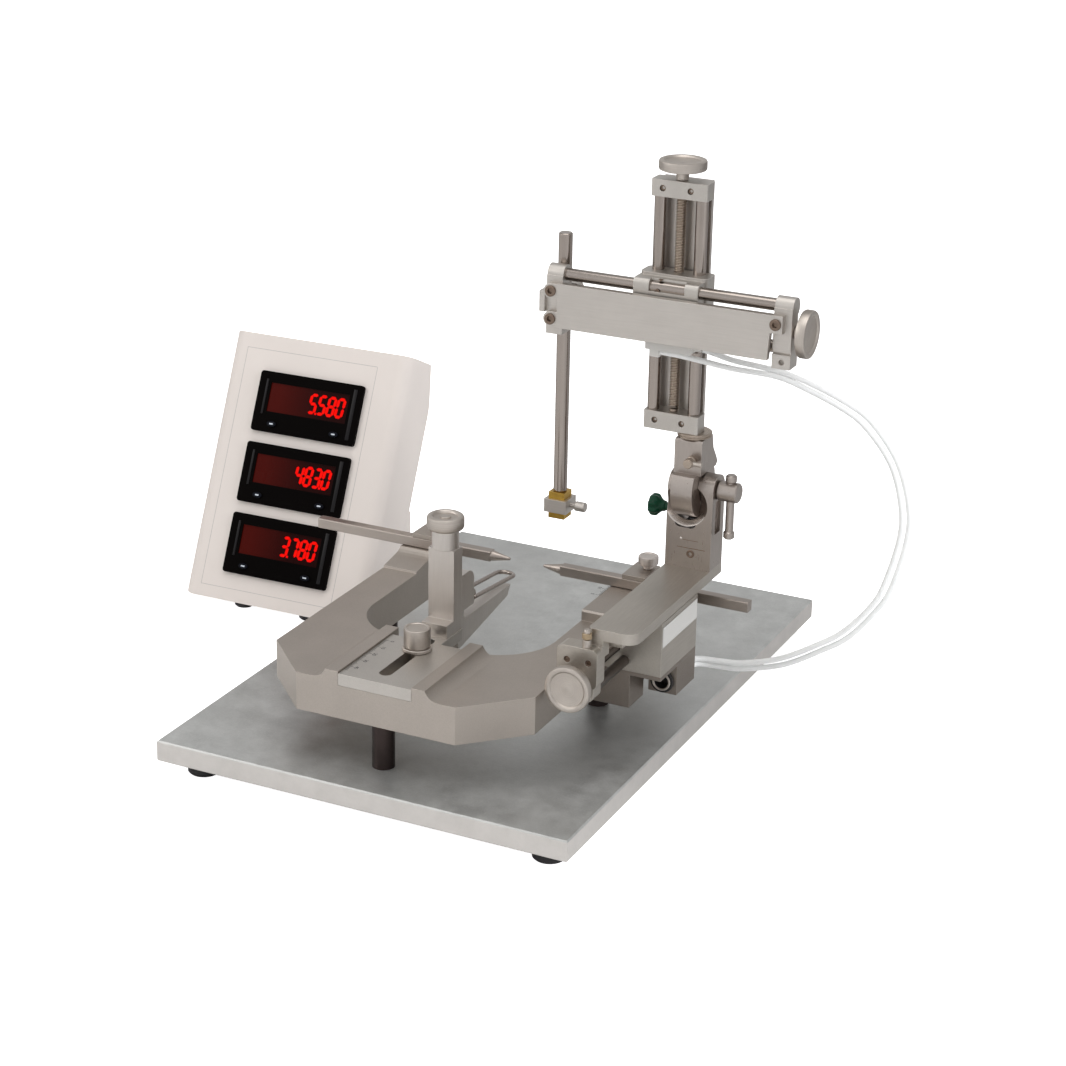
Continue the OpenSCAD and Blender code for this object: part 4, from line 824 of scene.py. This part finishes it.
# %% Painted-shade plate at the slot's back, dot and scribed lines
# A dark plate closes the slot's back as painted shade.
shape = bmesh.new()
add_box(shape, (0, 0, 0), (8.7, 1.2, 5.8))
soften(shape, 0.3)
make_piece("clevis_slot_shade", shape, black_steel, "ap_slide", stand((slot_x, 21.9, 109.5)))
dot_r = 0.75
shape = lathe([(0, 0), (dot_r, 0), (dot_r, 0.1), (dot_r - 0.25, 0.3), (0, 0.35)], steps=20)
place = stand((106.4, clevis_front, 99.7), front)
make_piece("clevis_dot", shape, lip_steel, "ap_slide", place)
shape = bmesh.new()
for x, z, width, height in ((107.6, 99, 9.5, 0.3), (104, 94.2, 17.5, 0.4)):
    add_box(shape, (x + width / 2, 0, z + height / 2), (width, 0.12, height))
make_piece("clevis_lines", shape, dark_screw, "ap_slide", stand((0, clevis_front, 0)))
print("clevis pieces", 4)

# %% [markdown]
# The lock's knob is a lobed plastic grip that narrows to its stem. The collar that the upright
# slide turns on has one groove round it.

# %% Lobed lock knob
lock_low, lock_high = corner("lock_knob", 0), corner("lock_knob", 1)
lock_r, lock_l = (lock_high.z - lock_low.z) / 2, lock_high.x - lock_low.x
lobes, lobe_depth, lobe_core, stem_r = 8, 0.14, 4.5, 2.4
shape = lathe(
    [
        (0, 0.5), (3, 0.3), (3.6, 0), (lock_r - 0.9, 0), (lock_r - 0.2, 0.6), (lock_r, 1.3), (lock_r, 3.6),
        (lock_r - 0.4, 4.6), (lock_r - 1.5, 5.4), (4.1, 6.2), (3.3, 7.5), (3, 9), (stem_r, 9.2),
        (stem_r, lock_l), (0, lock_l),
    ],
    steps=112,
)
for vert in shape.verts:
    reach = math.hypot(vert.co.x, vert.co.y)
    if reach > lobe_core:
        wave = 0.5 + 0.5 * math.cos(lobes * math.atan2(vert.co.y, vert.co.x))
        vert.co.xy *= 1 - lobe_depth * wave * (reach - lobe_core) / (lock_r - lobe_core)
at = (lock_low.x, (lock_low.y + lock_high.y) / 2, (lock_low.z + lock_high.z) / 2)
place = stand(at, (1, 0, 0))
piece = make_piece("lock_knob_lobed", shape, green_plastic, "swivel_lock", place, 50)
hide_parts("lock_knob")
print("lock knob radius", round(lock_r, 2))

# %% Grooved collar
collar_low, collar_high = corner("collar", 0), corner("collar", 1)
collar_r, collar_bore, face_gap = (collar_high.x - collar_low.x) / 2, 5.2, 0.04
top = collar_high.z - collar_low.z - face_gap
shape = lathe(
    [
        (collar_bore, face_gap), (collar_r - 0.5, face_gap), (collar_r, 0.5), (collar_r, 1.1),
        (collar_r - 0.4, 1.3), (collar_r - 0.4, 1.7), (collar_r, 1.9), (collar_r, 2.5),
        (collar_r - 0.5, top),
        (collar_bore, top), (collar_bore, face_gap),
    ],
    steps=96,
)
at = ((collar_low.x + collar_high.x) / 2, (collar_low.y + collar_high.y) / 2, collar_low.z)
piece = make_piece("collar_grooved", shape, turned_bronze, "column", stand(at))
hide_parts("collar")
print("collar radius", round(collar_r, 2))

# %% [markdown]
# The socket under the carriage has a bright metal ring round its mouth.

# %% Socket ring
socket_middle = middle("sensor_socket")
socket_mouth = (socket_middle.x, corner("sensor_socket", 0).y, socket_middle.z)
shape = lathe([(4.3, 0), (5.6, 0), (5.6, 0.5), (5.3, 0.8), (4.6, 0.8), (4.3, 0.5), (4.3, 0)], steps=48)
make_piece("socket_ring", shape, turned_nickel, "frame", stand(socket_mouth, front))
print("socket ring at", [round(x, 1) for x in socket_mouth])


# %% [markdown]
# Flat marks such as rulings, numbers, labels and display digits are thin plates. Each is an
# outline drawn flat and raised a few hundredths of a millimetre. The numbers are plain figures.

# %% Flat marks
def plate(shape, outline, thickness=0.03):
    face = shape.faces.new([shape.verts.new((point[0], point[1], 0)) for point in outline])
    raised = bmesh.ops.extrude_face_region(shape, geom=[face])["geom"]
    top = [item for item in raised if isinstance(item, bmesh.types.BMVert)]
    bmesh.ops.translate(shape, vec=(0, 0, thickness), verts=top)


def rectangle(x, y, width, height):
    return [(x, y), (x + width, y), (x + width, y + height), (x, y + height)]


def numbers(shape, marks, size):
    """Adds plain figures to a shape; marks are (number, x, y)."""
    for number, x, y in marks:
        curve = bpy.data.curves.new("figure", "FONT")
        curve.body, curve.size, curve.extrude, curve.align_x = str(number), size, 0.015, "CENTER"
        draft = bpy.data.objects.new("figure", curve)
        mesh = bpy.data.meshes.new_from_object(draft)
        mesh.transform(Matrix.Translation((x, y, 0.015)))
        shape.from_mesh(mesh)
        bpy.data.objects.remove(draft)
        bpy.data.curves.remove(curve)
        bpy.data.meshes.remove(mesh)


def flat_on(at, turn=0, face="top"):
    """Carries a flat mark in mm to a top, front or right face."""
    tilt = {"top": 0, "front": math.pi / 2, "right": math.pi / 2}[face]
    yaw = math.pi / 2 if face == "right" else 0
    return (
        Matrix.Translation(Vector(at) * MM) @ Matrix.Rotation(yaw, 4, "Z") @ Matrix.Rotation(tilt, 4, "X")
        @ Matrix.Rotation(turn, 4, "Z") @ Matrix.Scale(MM, 4)
    )


def ruling(name, at, turn, count, body, step=1, first=0, reach=(1.6, 2.4, 3.4)):
    """Marks side by side along X with a figure at every tenth."""
    shape = bmesh.new()
    for k in range(count):
        length = reach[2] if k % 10 == 0 else reach[1] if k % 5 == 0 else reach[0]
        plate(shape, rectangle(k * step - 0.13, 0, 0.26, length))
    numbers(shape, [(first + k, k * step, reach[2] + 0.5) for k in range(0, count, 10)], 3.2)
    return make_piece(name, shape, black_ink, body, flat_on(at, turn))


nose_face = corner("nose_plate", 1).z
ruling("nose_plate_ruling", (-22.3, -110, nose_face), -math.pi / 2, 46, "nose_carrier")
ruling("arm_seat_ruling", (59, 2, corner("u_frame", 1).z), math.pi / 2, 21, "frame")
shape = bmesh.new()
plate(shape, rectangle(0, 0, 49, 12), 0.3)
label_low = Vector((corner("ap_carriage", 1).x, -54.8, 58))
make_piece("carriage_label", shape, label_foil, "frame", flat_on(label_low, face="right"))

# %% [markdown]
# The console's panel leans back, so its marks are placed in the panel's own frame. Each digit
# is made of seven bars; a table says which bars each figure lights.

# %% Digits and panel marks
console_corner, console_yaw, panel_lean = (-257.3, 39.3, -17.7), math.radians(1.4), math.radians(65)
panel = (
    Matrix.Scale(MM, 4)
    @ Matrix.Translation(console_corner)
    @ Matrix.Rotation(console_yaw, 4, "Z")
    @ Matrix.Rotation(panel_lean, 4, "X")
)
bars = {
    "a": ((0, 2), (1, 2)), "b": ((1, 1), (1, 2)), "c": ((1, 0), (1, 1)), "d": ((0, 0), (1, 0)),
    "e": ((0, 0), (0, 1)), "f": ((0, 1), (0, 2)), "g": ((0, 1), (1, 1)),
}
lit = {"0": "abcdef", "3": "abcdg", "4": "bcfg", "5": "acdfg", "7": "abc", "8": "abcdefg"}
digit_w, digit_h, digit_pitch, bar_w, digit_lean = 4.4, 11.6, 6.6, 2.0, 0.1
mark_t = 0.05


def bar_outline(start, end):
    """A long hexagon from one corner of a digit to the next, leaning with the digit."""
    ends = [Vector((x * digit_w, y * digit_h / 2)) for x, y in (start, end)]
    along = (ends[1] - ends[0]).normalized() * bar_w / 2
    side = Vector((-along.y, along.x))
    first, last = ends[0] + along * 0.1, ends[1] - along * 0.1
    low, high = first + along, last - along
    outline = [first, low - side, high - side, last, high + side, low + side]
    return [(x + digit_lean * y, y) for x, y in outline]


def glow_digits(name, reading, right, base, height):
    shape = bmesh.new()
    x = right - digit_w - (len(reading.replace(".", "")) - 1) * digit_pitch
    for sign in reading:
        if sign == ".":
            plate(shape, rectangle(x - digit_pitch + digit_w + 0.5, -1, 1.5, 1.5), mark_t)
            continue
        for name_of_bar in lit[sign]:
            outline = [(px + x, py) for px, py in bar_outline(*bars[name_of_bar])]
            plate(shape, outline, mark_t)
        x += digit_pitch
    place = panel @ Matrix.Translation((0, base, height))
    return make_piece(name, shape, red_digit, "frame", place)


def button_cap(name, body, at):
    """An oval cap on a round stem."""
    cap_r, stem_r, oval = 3.3, 1.6, 0.55
    shape = lathe(
        [
            (0, -4), (stem_r, -4), (stem_r, 0), (cap_r - 0.3, 0), (cap_r, 0.15), (cap_r, 0.3),
            (cap_r - 0.3, 0.48), (0, 0.48),
        ],
        steps=40,
    )
    for vert in shape.verts:
        if vert.co.z > -0.1 and math.hypot(vert.co.x, vert.co.y) > stem_r + 0.1:
            vert.co.y *= oval
    return make_piece(name, shape, button_plastic, body, panel @ Matrix.Translation(at))


display_u, display_v, display_step = 27.1, 18.6, 47.1
button_us, button_v, button_top = (15, 60.8), 5.6, 3.42
for row, reading in enumerate(("3.780", "483.0", "5.580")):
    base = display_v + row * display_step
    glow_digits(f"reading_{row + 1}", reading, display_u + 62.9, base + 17.2, 1.92)
    for side, u in enumerate(button_us):
        button = 2 * (2 - row) + side + 1
        body = f"push_button_{button}"
        # Each button's pale dash is a painted glint.
        shape = bmesh.new()
        plate(shape, rectangle(-1.3, -0.45, 2.6, 0.9), mark_t)
        place = panel @ Matrix.Translation((display_u + u, base + button_v, button_top + 0.5))
        make_piece(f"button_{button}_glint", shape, button_glint, body, place)
        piece = button_cap(f"button_{button}_cap", body, (display_u + u, base + button_v, button_top))
        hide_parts(f"button_{button}")
    print("reading", reading)

# %% [markdown]
# Each display's frame has a low ridge at either side of its window, in a lighter plastic that
# paints its highlight, and a thin line runs round the whole panel.

# %% Display ridges and panel line
shape = bmesh.new()
for row in range(3):
    base = display_v + row * display_step
    for u, v, width, height in ((5.2, 11.5, 1.6, 23), (69.2, 3.5, 2.6, 33)):
        at = (display_u + u + width / 2, base + v + height / 2, 2.7)
        add_box(shape, at, (width, height, 0.5))
soften(shape, 0.2)
make_piece("bezel_ridges", shape, ridge_highlight_plastic, "frame", panel)

shape = bmesh.new()
line_x, line_y, line_w, line_h, line_t = 12, 8, 96, 158, 0.35
for x, y, width, height in (
    (line_x, line_y, line_t, line_h), (line_x + line_w, line_y, line_t, line_h),
    (line_x, line_y, line_w, line_t), (line_x, line_y + line_h, line_w, line_t),
):
    plate(shape, rectangle(x, y, width, height), 0.02)
panel_line = coating("panel_line", (0.52, 0.49, 0.47), 0.5, 2500, 0.01)
make_piece("panel_outline", shape, panel_line, "frame", panel)
print("panel line", line_w, "by", line_h)


# %% [markdown]
# The stage is a pale floor under a white sky, lit by soft lamps from above and from both sides.
# What the metal mirrors is not even: the sky and the floor are brighter ahead of the left corner
# than behind, which gives every rod a light and a dark side. Light-path switches keep this to
# reflections, so the background itself stays white.

# %% Floor
bright_way = (-0.43, -0.90, 0)
floor = bmesh.new()
bmesh.ops.create_circle(floor, cap_ends=True, segments=64, radius=9)
mesh = bpy.data.meshes.new("floor")
floor.to_mesh(mesh)
floor.free()
stage_floor = bpy.data.objects.new("floor", mesh)
stage_floor.location.z = cad_box[0][2] - 0.0002
scene.collection.objects.link(stage_floor)
material, tree, shader = start_material("floor_paper")
way = add(tree, "TexCoord").outputs["Object"]
way = add(tree, "VectorMath", {0: way}, operation="NORMALIZE").outputs[0]
ahead = add(tree, "VectorMath", {0: way, 1: bright_way}, operation="DOT_PRODUCT").outputs["Value"]
behind_tone, ahead_tone = (0.50, 0.50, 0.50, 1), (0.88, 0.88, 0.88, 1)
mirror_tone = mix(tree, between(tree, ahead, 0, 1, -0.6, 0.5), behind_tone, ahead_tone)
path = add(tree, "LightPath").outputs
tone = mix(tree, path["Is Glossy Ray"], (0.86, 0.86, 0.86, 1), mirror_tone)
tree.links.new(tone, shader.inputs["Base Color"])
shader.inputs["Roughness"].default_value = 0.9
shader.inputs["Specular IOR Level"].default_value = 0.1
glow = add(tree, "Emission", {"Color": (1, 1, 1, 1), "Strength": path["Is Camera Ray"]})
both = add(tree, "AddShader", {0: shader.outputs[0], 1: glow.outputs[0]})
tree.links.new(both.outputs[0], tree.nodes["Material Output"].inputs["Surface"])
mesh.materials.append(material)
print("floor at", round(stage_floor.location.z, 4))

# %% Sky
world = bpy.data.worlds.new("sky")
scene.world = world
world.use_nodes = True
tree = world.node_tree
path = add(tree, "LightPath").outputs
mirrored = {0: path["Is Glossy Ray"], 1: path["Is Transmission Ray"]}
mirrored = add(tree, "Math", mirrored, operation="MAXIMUM").outputs[0]
way = add(tree, "TexCoord").outputs["Generated"]
ahead = add(tree, "VectorMath", {0: way, 1: bright_way}, operation="DOT_PRODUCT").outputs["Value"]
height = add(tree, "SeparateXYZ", {0: way}).outputs["Z"]
falloff = between(tree, height, 1.0, 0.55, 0.0, 1.0)
mirror_tone = math_node(tree, "MULTIPLY", between(tree, ahead, 0.62, 1.0, -0.9, 0.6), falloff)
strength = mix(tree, mirrored, (0.52, 0.52, 0.52, 1), mirror_tone)
strength = mix(tree, path["Is Camera Ray"], strength, (1, 1, 1, 1))
tree.links.new(strength, tree.nodes["Background"].inputs["Color"])


# %% Lamps
def lamp(name, place, size, power, colour, mirrored=True):
    light = bpy.data.lights.new(name, "AREA")
    light.shape = "DISK"
    light.size = size
    light.energy = power
    light.color = colour
    lamp_object = bpy.data.objects.new(name, light)
    lamp_object.location = place
    aim = Vector((0, 0, 0.1)) - Vector(place)
    lamp_object.rotation_euler = aim.to_track_quat("-Z", "Y").to_euler()
    lamp_object.visible_glossy = mirrored
    scene.collection.objects.link(lamp_object)


lamp("top_lamp", (0.1, -0.2, 1.9), 1.6, 12, (1, 0.99, 0.97))
lamp("left_lamp", (-1.5, -1.2, 1.3), 1.2, 9, (1, 0.98, 0.95))
lamp("right_lamp", (1.9, -0.2, 0.8), 1.0, 19, (0.95, 0.97, 1), mirrored=False)
